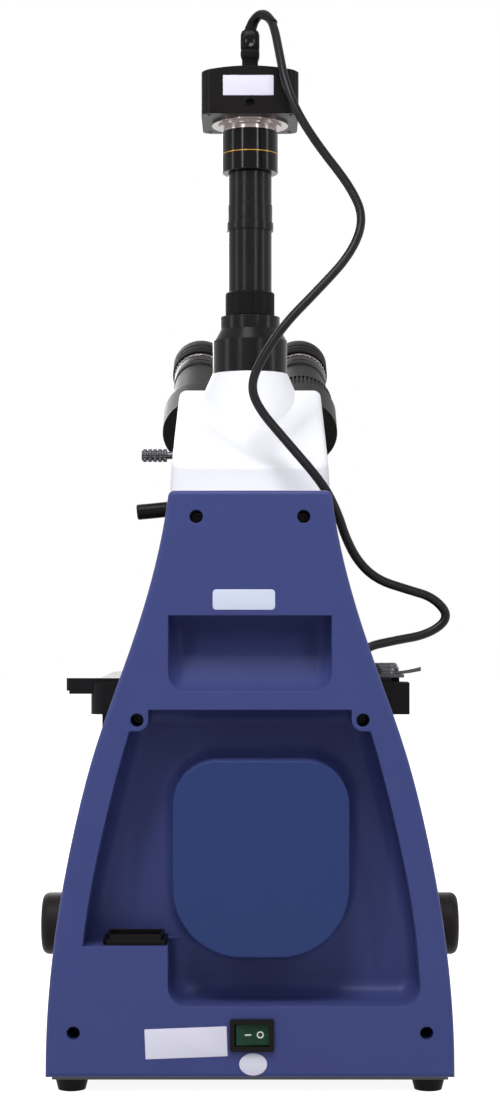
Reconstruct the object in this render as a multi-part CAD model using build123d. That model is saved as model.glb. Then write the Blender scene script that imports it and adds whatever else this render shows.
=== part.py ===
from build123d import *
from math import acos, asin, cos, degrees, hypot, pi, radians, sin, sqrt, tan
import os

# Trinocular bench microscope with a camera on its phototube.
# Millimetres. +Z is up and z = 0 is the table. The optical axis is the line
# x = 0, y = 0. The user sits on the -Y side, so +X is at the user's right,
# and the back panel faces +Y.

# Clearances.
slip = 0.05              # between faces that slide on each other
running = 0.06           # radial clearance round a shaft that turns
free = 0.3               # between pieces that only pass each other

# Stand.
half_depth = 133.0       # optical axis to the panel's outer face
foot_height = 6.8
plate_thickness = 1.4    # sheet-steel plate that closes the underside
base_top = 44.0          # height of the base's flat top
nose_height = 30.0       # height of the base's front edge
slope_run = 46.0         # how far back from the nose the top slopes up
base_half_width = 92.0
nose_half_width = 66.0
straight_front = 42.0    # the base's sides are parallel back from here
base_corner = 16.0
casting_wall = 4.0
panel_deep = 33.0        # thickness of the back panel
slab_depth = 12.0        # thickness of the arm's wide back slab
panel_drop = 1.2         # the panel's top lies this far below the arm's
casing_lip = 1.2         # the white casting shows this much round the panel
panel_edge = 2.2         # rounding round the panel's outer face
panel_corner = 3.0       # radius of the panel's two top corners
arm_deep = 26.0          # height of the beam over the nosepiece
arm_half_width = 36.0
arm_gusset = 24.0        # radius of the web under the arm
light_bore = 11.0

# The panel's flank: (share of its height, half width), from the foot up.
panel_flank = (
    (0.0, 97.2), (0.208, 93.8), (0.392, 85.3), (0.555, 73.9),
    (0.718, 58.1), (0.8, 50.6), (0.9, 43.3), (1.0, 38.6),
)
# The cord channel's flank, in the same form, from the ledge up.
well_flank = ((0.0, 79.4), (0.2, 76.3), (0.538, 68.4), (0.9, 57.6), (1.0, 54.0))

# Back panel. A drop is a height below the arm's top.
screw_hole = 6.3
screw_shank = 4.0
screw_head = 5.8
screw_seat = 6.0         # height of a screw's seat above the arm's slab
screw_grip = 8.0         # thread in the arm
top_screw_x, top_screw_drop = 25.5, 13.6
lug_x, lug_drop, lug_radius = 53.6, 110.2, 5.3
low_screw_x, low_screw_z = 83.8, 29.4
grip_half, grip_drop, grip_high, grip_depth = 38.8, 60.5, 35.8, 23.0
grip_corner = 8.5
grip_sweep = 7.0         # rounding between the grip's sides and its floor
panel_wall = 3.0         # what is left behind the cord channel
well_drop = 105.3
well_sweep = 8.0         # rounding between the channel's walls and its floor
ledge_z = 70.5
ledge_end = 39.0         # the ledge stops here, and the well goes on down
well_foot, well_foot_half = 42.2, 81.5
well_corner = 9.0
boss_left, boss_right = -47.2, 36.7
boss_drop, boss_foot = 129.4, 65.1
boss_top_corner, boss_foot_corner = 21.0, 33.0
boss_sweep = 7.0         # rounding at the boss's root
boss_edge = 0.8          # rounding round its face

# Mains inlet, rocker switch, feet.
inlet_x, inlet_setback = 54.8, 15.0
inlet_flange_x, inlet_flange_y, inlet_flange_z = 30.6, 22.0, 2.6
inlet_body_x, inlet_body_y, inlet_body_z = 27.0, 19.4, 21.0
inlet_rim = 2.2          # raised rim round the socket
socket_x, socket_y, socket_depth = 24.2, 16.4, 16.0
pin_thick, pin_wide, pin_long = 2.0, 4.0, 11.2
pin_pitch, pin_offset = 7.0, 2.0
pin_root = 6.0           # how deep a pin stands in the inlet's body
switch_x, switch_z = -0.9, 28.6
bezel_wide, bezel_high, bezel_proud = 21.0, 15.2, 2.0
bezel_rim = 2.3
switch_body_depth = 17.0
rocker_tilt = 6.0
rocker_swing = 12.0
foot_top, foot_tip = 8.4, 6.6
rear_foot_x, rear_foot_in = 85.6, 15.0
front_foot_x, front_foot_in = 50.0, 23.0

# Light in the base.
collar_radius, collar_height = 31.0, 18.0
field_radius, field_thick = 22.0, 4.0
lamp_radius, lamp_height = 24.0, 26.0
board_x, board_thick, board_gap = 96.0, 12.0, 12.0
board_stand = 4.0
dial_radius, dial_thick, dial_shaft = 12.0, 9.0, 3.0
dial_y, dial_z = -12.0, 28.0

# Focus drive.
tooth_module = 0.8
pressure_angle = 20.0
pinion_teeth = 16
focus_y, focus_z = 60.0, 71.0
cheek_out, cheek_in = 64.0, 24.0
cheek_radius = 14.0
hip_half_width, hip_drop = 34.0, 45.0    # the drop is below the stage's top
hip_front = 58.0
shaft_radius = 4.2
fine_shaft_radius = 2.4
coarse_radius, coarse_in, coarse_out = 24.0, 67.0, 89.6
fine_radius, fine_in, fine_out = 15.6, 90.0, 105.0
knob_round = 3.6
guide_half_width, guide_rise = 24.0, 17.0    # the rise is over the pinion's axis
tongue_half, tongue_depth, tongue_spread = 11.0, 7.0, 2.5
slide_half_width, slide_front = 21.0, 42.0
slide_rise = 21.0
focus_teeth_down, focus_teeth_up = 4, 20
lift_down = 20.0         # travel of the stage below its rest height
rack_half_width, rack_back = 3.4, 3.4

# Mechanical stage. A drop here is a height below the stage's top.
stage_top = 195.0
plate_past_drive = 14.6  # the plate's side, past the drive's axis
plate_front, plate_rear, plate_thick = 72.0, 44.0, 8.0
plate_corner = 7.0
carrier_front, carrier_rear, carrier_thick = 60.0, 62.0, 7.0
runner_x, runner_half, runner_height, runner_spread = 34.0, 6.0, 2.6, 1.2
runner_rear = 25.0       # the runners end clear of the cross bar's guide
window_half, window_front, window_rear = 20.0, 34.0, 35.0
window_corner = 6.0
port_radius = 23.0
bracket_thick, bracket_half_x, bracket_front = 11.0, 38.0, 22.0
bracket_bore = 27.0
rear_block_half, rear_block_depth, rear_block_drop = 15.0, 10.0, 77.0
housing_half_x, housing_wall, housing_drop = 81.0, 3.0, 18.0
housing_step = 1.8       # the guide's top lies this far below the stage's
housing_block = 23.0     # length of the guide's deep end blocks
bar_left, bar_past = -72.0, 12.5         # the bar runs this far past the guide
bar_depth, bar_height, bar_proud = 6.0, 6.4, 0.3
bar_lip, bar_lip_in = 1.6, 1.5           # thin rib under the bar, set in at its end
x_rack_back = 2.4
drive_in, drive_y = 18.6, 44.0          # in from the guide's end, and back
drive_teeth = 14
y_teeth_rear, y_teeth_front = 6, 10
x_teeth_right, x_teeth_left = 11, 16
drive_gear_high = 2.0
y_gear_high = 4.5
hanger_thick = 8.0
y_knob_radius, y_knob_high = 14.6, 17.0
x_knob_radius, x_knob_high = 10.5, 20.0
knob_gap = 1.0
x_shaft_radius, sleeve_radius = 2.0, 3.6
holder_thick = 1.6
slide_half_x, slide_half_y, slide_thick = 38.0, 13.0, 1.2
jaw_wide, jaw_reach = 8.0, 21.0
holder_deep, holder_left = 11.0, 79.0
tail_half, pivot_in, pivot_y = 24.0, 11.0, 40.0
pivot_radius, cap_radius, cap_high = 2.0, 9.0, 4.2
cap_step = 0.7           # the cap's upper part is this much smaller
lever_reach, lever_wide = 20.0, 5.0
finger_thick, finger_wide = 1.6, 7.0
tip_x, tip_y, tip_wide = -38.0, -2.0, 5.0

# Condenser.
condenser_top_gap = 0.8
sleeve_r, flange_r, nose_r = 18.5, 21.0, 13.0
nose_long, cone_long, sleeve_long, flange_long = 20.0, 6.0, 26.0, 18.0
front_lens_r, front_lens_high = 9.0, 2.0
ring_r, ring_high, ring_drop = 25.0, 10.0, 5.0
small_module = 0.5
small_teeth = 14
cond_teeth_down, cond_teeth_up = 3, 15
cond_axis_drop = 55.0
cond_plate_half, cond_plate_thick = 10.0, 6.0
cond_plate_low, cond_plate_high = 18.0, 26.0    # from the knob's axis
cond_knob_radius, cond_knob_long, cond_shaft = 9.0, 14.0, 2.0
iris_high, iris_disc, iris_reach, iris_rise = 3.0, 12.0, 34.0, 8.0
iris_throw, lever_half = 30.0, 1.6
mouth_r = 11.5           # the condenser's open underside

# Nosepiece and objectives.
parfocal = 45.0
rest_drop = 2.5          # the stage rests this far below focus
nose_tilt = 12.0
ring_radius = 21.0       # turret axis to an objective's axis, on the shoulder
turret_radius, turret_thick = 31.0, 6.5
mount_radius, turret_pin = 29.0, 5.0
nose_rise = 18.3         # from the objectives' shoulder to the arm's underside
objective_bore = 8.0
thread_r = 10.1
# Each objective: its length, barrel radius, waist radius and tip radius.
scan_size = (26.0, 11.0, 9.0, 8.0)
low_size = (35.0, 11.5, 9.0, 5.5)
high_size = (44.3, 11.5, 9.0, 3.6)
oil_size = (44.8, 11.5, 9.0, 3.2)

# Viewing head. Heights and rises here start at the head's underside.
head_gap = 1.0           # between the arm's top and the head's underside
head_foot_half, head_top_half = 41.0, 37.6
head_high = 58.0
head_back, head_back_high = 60.0, 14.0
head_crown = 5.0         # the sloping back starts this far behind the axis
head_edge, head_corner = 4.0, 7.0
cone_high, cone_r = 67.0, 20.2
cone_mid_high, cone_mid_r = 48.5, 28.0
cone_foot_high, cone_foot_r = 29.0, 35.0
swivel_r, swivel_deep, swivel_flare = 29.0, 5.0, 1.6
seat_wall = 5.0
tube_tilt = 30.0         # eyepiece tubes above the horizontal
tube_y, tube_rise = -30.0, 38.0    # where the tubes' plane leaves the head
pupil_half = 28.5        # half the distance between the eyepieces at rest
arm_reach = 37.5         # hinge axis to a tube's axis
wing_r, hub_r, web_half = 19.5, 17.2, 12.5
wing_deep, wing_clear = 24.0, 20.4
hinge_pin = 5.0
tube_r, tube_end = 14.5, 61.0
sleeve_bore = 11.6       # half of the 23.2 mm eyepiece sleeve
eyepiece_r, eyepiece_end, sleeve_in = 15.0, 79.0, 16.0
cup_r, cup_start, cup_end, cup_wall = 16.2, 76.0, 93.0, 2.4
lens_r = 9.5
diopter_r, diopter_start, diopter_end = 17.8, 26.0, 39.0
rod_y, rod_rise = 10.0, 23.0
rod_r, rod_start, rod_end = 3.5, 44.0, 57.5
rod_neck_r, rod_neck_in = 1.95, 14.0
rod_pull = 12.0
clamp_y, clamp_drop, clamp_r, clamp_long = 12.0, 4.0, 4.15, 23.5
clamp_screw_r, clamp_screw_long = 2.5, 5.5
clamp_tilt = 5.5         # degrees below the horizontal, going outwards

# Phototube and camera. Heights here start at the top of the head's cone.
port_r, port_step_z = 19.9, 17.6
port_shoulder_r, port_shoulder_z = 16.6, 23.5
port_neck_r, port_neck_z = 16.0, 30.4
clamp_ring_r, clamp_ring_top = 13.1, 43.6
camera_tube_r = 11.6
tube_seat = 12.0         # how deep the camera's tube stands in the port
tube_band_r, tube_band_low, tube_band_high = 12.5, 76.7, 80.9
tube_belt_r, tube_belt_high = 11.95, 90.4
adapter_z, adapter_r, adapter_top = 107.6, 15.0, 129.5
barrel_r, barrel_top = 14.2, 132.0
step_r, step_top = 17.0, 133.0
flange_disc_r, flange_disc_z = 20.4, 134.4
camera_half_x, camera_half_y = 25.6, 24.5
camera_shoulder, camera_crown = 156.8, 159.6
camera_corner = 5.0
socket_hole_r, socket_hole_z, socket_hole_deep = 2.2, 140.1, 3.0

# Camera lead.
cord_r = 2.3
plug_x, plug_y, plug_high = 10.2, 8.0, 15.2
neck_x, neck_y, neck_high = 8.6, 6.0, 9.6
coil_x, coil_y = -62.0, -186.0
coil_mid_r, coil_wide, coil_high = 25.0, 10.0, 9.6
tie_wide, tie_wall = 10.0, 1.2
far_body_long, far_body_wide, far_body_high = 26.0, 15.0, 8.0
far_shell_long, far_shell_wide, far_shell_high = 18.8, 12.0, 4.5


# Simple shapes.
def block(x0, x1, y0, y1, z0, z1):
    middle = Pos((x0 + x1) / 2, (y0 + y1) / 2, (z0 + z1) / 2)
    return middle * Box(x1 - x0, y1 - y0, z1 - z0)


def rod_up(x, y, z0, z1, radius):
    return Pos(x, y, (z0 + z1) / 2) * Cylinder(radius, z1 - z0)


def rod_across(x0, x1, y, z, radius):
    turned_over = Pos((x0 + x1) / 2, y, z) * Rot(0, 90, 0)
    return turned_over * Cylinder(radius, x1 - x0)


def rod_back(x, y0, y1, z, radius):
    turned_over = Pos(x, (y0 + y1) / 2, z) * Rot(90, 0, 0)
    return turned_over * Cylinder(radius, y1 - y0)


def turned(*corners):
    """A round piece about Z, from its half section as (radius, height)."""
    outline = Polyline(*[(r, 0, z) for r, z in corners], close=True)
    return revolve(make_face(outline), Axis.Z)


def prism_x(corners, x0, x1):
    """A piece with one side view, given as (y, z), between two x values."""
    side = make_face(Polyline(*[(x0, y, z) for y, z in corners], close=True))
    return extrude(side, x1 - x0, dir=(1, 0, 0))


def prism_z(corners, z0, z1):
    """A piece with one plan view, given as (x, y), between two heights."""
    plan = make_face(Polyline(*[(x, y, z0) for x, y in corners], close=True))
    return extrude(plan, z1 - z0, dir=(0, 0, 1))


def soften(shape, radius, axis):
    """Rounds every edge that runs along the axis."""
    return fillet(shape.edges().filter_by(axis), radius)


def both_sides(shape):
    return [shape, mirror(shape, Plane.YZ)]


def panel_plane(y):
    """A drawing plane seen from in front: its x is X and its y is Z."""
    return Plane(origin=(0, y, 0), x_dir=(1, 0, 0), z_dir=(0, -1, 0))


# Gears and racks.
def involute(angle):
    return tan(angle) - angle


backlash = 0.12
tooth_tip, tooth_root = 0.88, 1.2    # in modules


def gear(module, teeth, z0, z1, bore):
    """A spur gear about Z with a gap between teeth at +X."""
    pitch_r = module * teeth / 2
    base_r = pitch_r * cos(radians(pressure_angle))
    tip_r = pitch_r + tooth_tip * module
    root_r = pitch_r - tooth_root * module
    half_pitch = (pi * module / 2 - backlash) / (2 * pitch_r)
    start = half_pitch + involute(radians(pressure_angle))
    foot_r = max(base_r, root_r)
    flank = []
    for step in range(4):
        r = foot_r + (tip_r - foot_r) * step / 3
        flank.append((r, start - involute(acos(min(1.0, base_r / r)))))
    if root_r < base_r:
        flank.insert(0, (root_r, flank[0][1]))
    points = []
    for tooth in range(teeth):
        middle = 2 * pi * (tooth + 0.5) / teeth
        for r, half in flank:
            points.append((r * cos(middle - half), r * sin(middle - half)))
        for r, half in reversed(flank):
            points.append((r * cos(middle + half), r * sin(middle + half)))
    wheel = prism_z(points, z0, z1)
    if bore:
        wheel -= rod_up(0, 0, z0, z1, bore)
    return wheel


def rack(module, down, up, back, width):
    """A rack along X with a tooth at x = 0 pointing to +Y, pitch line y = 0.

    It has teeth from -down to +up, and its width is along Z, about z = 0."""
    pitch = pi * module
    tip, root = tooth_tip * module, -tooth_root * module
    lean = tan(radians(pressure_angle))
    half = pi * module / 4 - backlash / 4
    corners = [(-(down + 0.5) * pitch, root)]
    for tooth in range(-down, up + 1):
        middle = tooth * pitch
        corners.append((middle - half + root * lean, root))
        corners.append((middle - half + tip * lean, tip))
        corners.append((middle + half - tip * lean, tip))
        corners.append((middle + half - root * lean, root))
    corners.append(((up + 0.5) * pitch, root))
    corners.append(((up + 0.5) * pitch, -back))
    corners.append((-(down + 0.5) * pitch, -back))
    return prism_z(corners, -width / 2, width / 2)


def pitch_radius(module, teeth):
    return module * teeth / 2


# Stand.
bed = foot_height + plate_thickness      # underside of the castings
slab_back = half_depth - panel_deep      # where the back panel starts
slab_front = slab_back - slab_depth
nose_y = -(half_depth + bezel_proud)     # the base's nose, as far out as the switch
shoulder_z = stage_top + slide_thick + parfocal + rest_drop
arm_under = shoulder_z + nose_rise
arm_top = arm_under + arm_deep
panel_top = arm_top - panel_drop
hip_top = stage_top - hip_drop


def panel_face(grow, y):
    """The panel's outline at one depth, grown evenly to its sides."""
    rise = panel_top - bed
    right = [(half + grow, y, bed + share * rise) for share, half in panel_flank]
    left = [(-x, deep, z) for x, deep, z in reversed(right)]
    edges = [Spline(*right), Line(right[-1], left[0])]
    edges += [Spline(*left), Line(left[-1], right[0])]
    return make_face(edges)


def base_form(inset):
    """The base's outer form, or the hollow inside it at one wall's inset."""
    half, nose = base_half_width - inset, nose_half_width - inset
    front, back = nose_y + inset, slab_front - inset
    plan = [(-half, back), (-half, -straight_front), (-nose, front)]
    plan += [(nose, front), (half, -straight_front), (half, back)]
    form = prism_z(plan, bed, base_top - inset)
    low = nose_height - inset
    slope_end = nose_y + slope_run
    side = [(front - 1, low), (slope_end, base_top - inset)]
    side += [(slope_end, base_top + 1), (front - 1, base_top + 1)]
    return form, prism_x(side, -half - 1, half + 1)


base_outer, base_slope = base_form(0)
base_outer -= base_slope
front_posts = base_outer.edges().filter_by(Axis.Z).group_by(Axis.Y)[0]
base_outer = fillet(front_posts, base_corner)
top_ring = base_outer.edges().filter_by_position(Axis.Z, base_top - 0.01, base_top + 1)
side_top = top_ring.filter_by(Axis.Y)
base_outer = fillet(side_top, 5.0)
base_inner, inner_slope = base_form(casting_wall)
base_inner -= inner_slope
base_casting = base_outer - base_inner

gear_r = pitch_radius(tooth_module, pinion_teeth)
rack_line = focus_y - gear_r             # the focus rack's pitch line
slot_half = rack_half_width + 1.2
slot_front = rack_line - rack_back - 1.2
base_casting -= block(-slot_half, slot_half, slot_front, rack_line + 2.4,
                      base_top - casting_wall - 1, base_top + 1)
base_casting -= rod_up(0, 0, base_top - casting_wall - 1, base_top + 1,
                       lamp_radius + free)
dial_face = base_half_width              # the dial stands on the left side
base_casting -= rod_across(-dial_face - 1, -dial_face + casting_wall + 1,
                           dial_y, dial_z, dial_shaft + running)

# The arm: a wide slab, a narrow hip that carries the focus drive, and the
# beam that reaches forward over the stage.
slab = extrude(panel_face(casing_lip, slab_front), slab_depth, dir=(0, 1, 0))
slab = fillet(slab.edges().filter_by(Axis.Y).group_by(Axis.Z)[-1], panel_corner)
hip = block(-hip_half_width, hip_half_width, hip_front, slab_front,
            base_top, hip_top)
hip = fillet(hip.edges().filter_by(Axis.X).group_by(Axis.Z)[-1].group_by(Axis.Y)[0],
             10.0)
cheek_round = rod_across(-cheek_out, cheek_out, focus_y, focus_z, cheek_radius)
cheek_low = block(-cheek_out, cheek_out, focus_y - cheek_radius, slab_front,
                  base_top, focus_z)
cheek_high = block(-cheek_out, cheek_out, focus_y, slab_front,
                   focus_z, focus_z + cheek_radius)
beam = block(-arm_half_width, arm_half_width, 0, slab_front, arm_under, arm_top)
beam += rod_up(0, 0, arm_under, arm_top, arm_half_width)
web_half_x = arm_half_width - 4
web = block(-web_half_x, web_half_x, slab_front - arm_gusset, slab_front,
            arm_under - arm_gusset, arm_under)
web -= rod_across(-web_half_x, web_half_x, slab_front - arm_gusset,
                  arm_under - arm_gusset, arm_gusset)
arm_casting = slab + hip + cheek_low + cheek_round + cheek_high + beam + web
# Room between the cheeks for the slide, its rack and the pinion.
arm_casting -= block(-cheek_in, cheek_in, slide_front - 20, hip_front,
                     base_top - 1, hip_top + 1)
arm_casting -= rod_across(-cheek_out - 1, cheek_out + 1, focus_y, focus_z,
                          shaft_radius + running)
pinion_room = gear_r + tooth_module + 1.0
arm_casting -= rod_across(-rack_half_width - 1.4, rack_half_width + 1.4,
                          focus_y, focus_z, pinion_room)
# Swivel seat for the head, and the light's way through the beam.
arm_casting -= turned((0, arm_top - swivel_deep - free),
                      (swivel_r + swivel_flare + free, arm_top - swivel_deep - free),
                      (swivel_r + swivel_flare + free, arm_top + 1),
                      (0, arm_top + 1))
arm_casting -= rod_up(0, 0, arm_under - 1, arm_top, light_bore)

clamp_spot = Pos(arm_half_width + 0.5, clamp_y, arm_top - clamp_drop)
clamp_place = clamp_spot * Rot(0, 90 + clamp_tilt, 0)
arm_casting -= clamp_place * Pos(0, 0, -clamp_screw_long / 2) * Cylinder(
    clamp_screw_r + running, clamp_screw_long + 2)

lug_z = arm_top - lug_drop
screw_spots = [(top_screw_x, arm_top - top_screw_drop), (lug_x, lug_z),
               (low_screw_x, low_screw_z)]
screw_spots += [(-x, z) for x, z in screw_spots]
for x, z in screw_spots:
    arm_casting -= rod_back(x, slab_back - screw_grip - free, slab_back + 1, z,
                            screw_shank / 2 + running)

# Back panel.
panel = extrude(panel_face(0, slab_back), half_depth - slab_back, dir=(0, 1, 0))
panel = fillet(panel.edges().filter_by(Axis.Y).group_by(Axis.Z)[-1], panel_corner)
outer_edges = panel.faces().sort_by(Axis.Y)[-1].edges()
panel = fillet(outer_edges, panel_edge)


def cut_from_face(drawing, depth):
    return extrude(panel_plane(half_depth + 0.01) * drawing, depth + 0.01)


# The cord channel has an upper part between the flanks, and a lower part that
# runs on past the ledge. Its walls meet its floor in a wide rounding.
well_depth = panel_deep - panel_wall
well_top = arm_top - well_drop


right = [(half, ledge_z + share * (well_top - ledge_z)) for share, half in well_flank]
left = [(-x, z) for x, z in reversed(right)]
well_plan = make_face([Spline(*right), Line(right[-1], left[0]), Spline(*left),
                       Line(left[-1], right[0])])
lower_plan = make_face(Polyline(left[-1], (-well_foot_half, well_foot),
                                (ledge_end, well_foot), (ledge_end, ledge_z),
                                close=True))
well_plan += fillet(lower_plan.vertices().group_by(Axis.Y)[0], well_corner)
well = cut_from_face(well_plan, well_depth)
floor_edges = well.faces().sort_by(Axis.Y)[0].edges()
well = fillet(floor_edges.filter_by(lambda e: abs(e.center().Z - ledge_z) > 1), well_sweep)
for side in (1, -1):
    out_x = side * (lug_x + 8)
    inner_x = side * (lug_x - lug_radius)
    mid_x = side * lug_x
    deep = half_depth - well_depth
    well -= rod_back(mid_x, deep - 1, half_depth + 1, lug_z, lug_radius)
    well -= block(min(inner_x, out_x), max(inner_x, out_x), deep - 1, half_depth + 1,
                  lug_z, well_top + 1)
    well -= block(min(mid_x, out_x), max(mid_x, out_x), deep - 1, half_depth + 1,
                  lug_z - lug_radius, well_top + 1)


boss_top = arm_top - boss_drop
boss_plan = make_face(Polyline((boss_left, boss_foot), (boss_right, boss_foot),
                               (boss_right, boss_top), (boss_left, boss_top),
                               close=True))
boss_plan = fillet(boss_plan.vertices().group_by(Axis.Y)[0], boss_foot_corner)
boss_plan = fillet(boss_plan.vertices().group_by(Axis.Y)[-1], boss_top_corner)
boss = extrude(panel_plane(half_depth) * boss_plan, well_depth)
boss = fillet(boss.faces().sort_by(Axis.Y)[-1].edges(), boss_edge)
# It stands on a plate behind the channel's floor, which shapes its root.
channel_floor = half_depth - well_depth
boss += block(boss_left - 2 * boss_sweep, boss_right + 2 * boss_sweep,
              channel_floor - 1, channel_floor, boss_foot - 2 * boss_sweep,
              boss_top + 2 * boss_sweep)
boss_root = boss.edges().filter_by_position(Axis.Y, channel_floor - 0.01,
                                            channel_floor + 0.01)
boss_root = boss_root.filter_by(lambda e: boss_left - 1 < e.center().X < boss_right + 1
                                and boss_foot - 1 < e.center().Z < boss_top + 1)
boss = fillet(boss_root, boss_sweep)
well -= boss

grip_top = arm_top - grip_drop
grip_foot = grip_top - grip_high
grip_plan = make_face(Polyline((-grip_half, grip_foot), (grip_half, grip_foot),
                               (grip_half, grip_top), (-grip_half, grip_top),
                               close=True))
grip_plan = fillet(grip_plan.vertices().group_by(Axis.Y)[0], grip_corner)
grip = cut_from_face(grip_plan, grip_depth)
# The grip's floor is scooped: deep at the top, running out to the foot.
scoop_r = (grip_top - grip_foot) * 1.25
scoop_y = half_depth - grip_depth + scoop_r
grip &= rod_across(-grip_half - 1, grip_half + 1, scoop_y, grip_top, scoop_r)
grip_sides = grip.edges().filter_by(GeomType.CIRCLE).filter_by(
    lambda e: abs(abs(e.center().X) - grip_half) < 0.01)
grip = fillet(grip_sides, grip_sweep)

back_panel = panel - well - grip
for x, z in screw_spots:
    back_panel -= rod_back(x, slab_back + screw_seat, half_depth + 1, z, screw_hole / 2)
    back_panel -= rod_back(x, slab_back - 1, half_depth, z, screw_shank / 2 + running)

panel_screws = []
for x, z in screw_spots:
    head_foot = slab_back + screw_seat
    screw = rod_back(x, head_foot, head_foot + 3.0, z, screw_head / 2)
    screw += rod_back(x, slab_back - screw_grip, head_foot, z, screw_shank / 2)
    screw -= rod_back(x, head_foot + 1.4, head_foot + 3.1, z, 1.5)
    panel_screws.append(screw)

# Mains inlet on the ledge, facing up.
inlet_y = half_depth - inlet_setback
flange_top = ledge_z + inlet_flange_z
rim_top = flange_top + inlet_rim


def inlet_box(size_x, size_y, z0, z1):
    return block(inlet_x - size_x / 2, inlet_x + size_x / 2,
                 inlet_y - size_y / 2, inlet_y + size_y / 2, z0, z1)


back_panel -= inlet_box(inlet_body_x + 2 * free, inlet_body_y + 2 * free,
                        ledge_z - inlet_body_z - free, ledge_z + 1)
flange = soften(inlet_box(inlet_flange_x, inlet_flange_y, ledge_z, flange_top),
                3.0, Axis.Z)
rim = soften(inlet_box(socket_x + 3.0, socket_y + 3.0, flange_top, rim_top),
             3.0, Axis.Z)
mains_inlet = flange + rim + inlet_box(inlet_body_x, inlet_body_y,
                                       ledge_z - inlet_body_z, ledge_z)
mains_inlet -= inlet_box(socket_x, socket_y, rim_top - socket_depth, rim_top + 1)
socket_floor = rim_top - socket_depth
pin_spots = [(-pin_pitch, -pin_offset), (pin_pitch, -pin_offset), (0, pin_offset)]
inlet_pins = []
for x, y in pin_spots:
    pin = block(inlet_x + x - pin_thick / 2, inlet_x + x + pin_thick / 2,
                inlet_y + y - pin_wide / 2, inlet_y + y + pin_wide / 2,
                socket_floor - pin_root, socket_floor + pin_long)
    mains_inlet -= block(inlet_x + x - pin_thick / 2, inlet_x + x + pin_thick / 2,
                         inlet_y + y - pin_wide / 2, inlet_y + y + pin_wide / 2,
                         socket_floor - pin_root, socket_floor + 1)
    inlet_pins.append(pin)

# Rocker switch.
switch_face = half_depth + bezel_proud


def switch_box(size_x, size_z, y0, y1):
    return block(switch_x - size_x / 2, switch_x + size_x / 2, y0, y1,
                 switch_z - size_z / 2, switch_z + size_z / 2)


cut_x, cut_z = bezel_wide - 2.4, bezel_high - 2.4
back_panel -= switch_box(cut_x, cut_z, half_depth - switch_body_depth, half_depth + 1)
bezel = switch_box(bezel_wide, bezel_high, half_depth, switch_face)
bezel = fillet(bezel.edges().filter_by(Axis.Y), 1.2)
switch_body = switch_box(cut_x - 2 * slip, cut_z - 2 * slip,
                         half_depth - switch_body_depth + free, half_depth)
room_x, room_z = bezel_wide - 2 * bezel_rim, bezel_high - 2 * bezel_rim
switch_bezel = bezel + switch_body - switch_box(
    room_x, room_z, half_depth - 9.0, switch_face + 1)
rocker_x, rocker_z = room_x - 2 * free, room_z - 2 * free
rocker_pivot_y = half_depth - 3.0
dip = 0.9                # how far the rocker's face is bent in at its middle
rocker_high = 3.4        # from its pivot to its two ends
rocker_shape = [(-rocker_x / 2, -4.0), (rocker_x / 2, -4.0),
                (rocker_x / 2, rocker_high), (0, rocker_high - dip),
                (-rocker_x / 2, rocker_high)]
rocker = make_face(Polyline(*[(x, y, -rocker_z / 2) for x, y in rocker_shape],
                            close=True))
rocker = extrude(rocker, rocker_z, dir=(0, 0, 1))
rocker &= Cylinder(rocker_x / 2 + 0.2, rocker_z + 1) + Pos(0, 4, 0) * Box(
    rocker_x, 6, rocker_z + 1)
power_rocker = Pos(switch_x, rocker_pivot_y, switch_z) * Rot(0, 0, rocker_tilt) * rocker
trunnion_r = 1.4
power_rocker += rod_up(switch_x, rocker_pivot_y, switch_z - room_z / 2 - 0.8,
                       switch_z + room_z / 2 + 0.8, trunnion_r)
switch_bezel -= rod_up(switch_x, rocker_pivot_y, switch_z - room_z / 2 - 0.9,
                       switch_z + room_z / 2 + 0.9, trunnion_r + running)

# Underside.
edge_in = 3.0
plate_half, plate_nose = base_half_width - edge_in, nose_half_width - edge_in
rear_half = panel_flank[0][1] - edge_in
base_plate = prism_z([(-rear_half, half_depth - edge_in),
                      (-rear_half, slab_front), (-plate_half, slab_front),
                      (-plate_half, -straight_front),
                      (-plate_nose, nose_y + edge_in + 4),
                      (plate_nose, nose_y + edge_in + 4),
                      (plate_half, -straight_front), (plate_half, slab_front),
                      (rear_half, slab_front),
                      (rear_half, half_depth - edge_in)], foot_height, bed)
base_plate = fillet(base_plate.edges().filter_by(Axis.Z).group_by(Axis.Y)[0],
                    base_corner - edge_in)
rubber_feet = []
for x, y in ((rear_foot_x, half_depth - rear_foot_in),
             (front_foot_x, nose_y + front_foot_in)):
    for side in (1, -1):
        foot = turned((0, 0), (foot_tip, 0), (foot_top, foot_height), (0, foot_height))
        rubber_feet.append(Pos(side * x, y, 0) * foot)

# Light in the base.
field_collar = turned((lamp_radius, base_top), (collar_radius, base_top),
                      (collar_radius, base_top + collar_height - 2),
                      (collar_radius - 2, base_top + collar_height),
                      (field_radius, base_top + collar_height),
                      (field_radius, base_top + collar_height - field_thick),
                      (lamp_radius - 4, base_top + collar_height - field_thick),
                      (lamp_radius - 4, base_top + 3), (lamp_radius, base_top + 3))
field_lens = turned((0, base_top + collar_height - field_thick),
                    (field_radius, base_top + collar_height - field_thick),
                    (field_radius, base_top + collar_height - 1.0),
                    (0, base_top + collar_height - 0.2))
lamp_foot = base_top - lamp_height
lamp_module = turned((0, lamp_foot), (lamp_radius, lamp_foot),
                     (lamp_radius, base_top + 3), (lamp_radius - 4, base_top + 3),
                     (lamp_radius - 8, lamp_foot + 6), (0, lamp_foot + 6))
lamp_posts = []
for x in (-lamp_radius + 5, lamp_radius - 5):
    lamp_posts.append(rod_up(x, 0, bed, lamp_foot, 3.0))
lamp_module += lamp_posts
board_front = lamp_radius + 6
board_back = slab_front - casting_wall - board_gap
power_board = block(-board_x / 2, board_x / 2, board_front, board_back,
                    bed + board_stand, bed + board_stand + board_thick)
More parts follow.
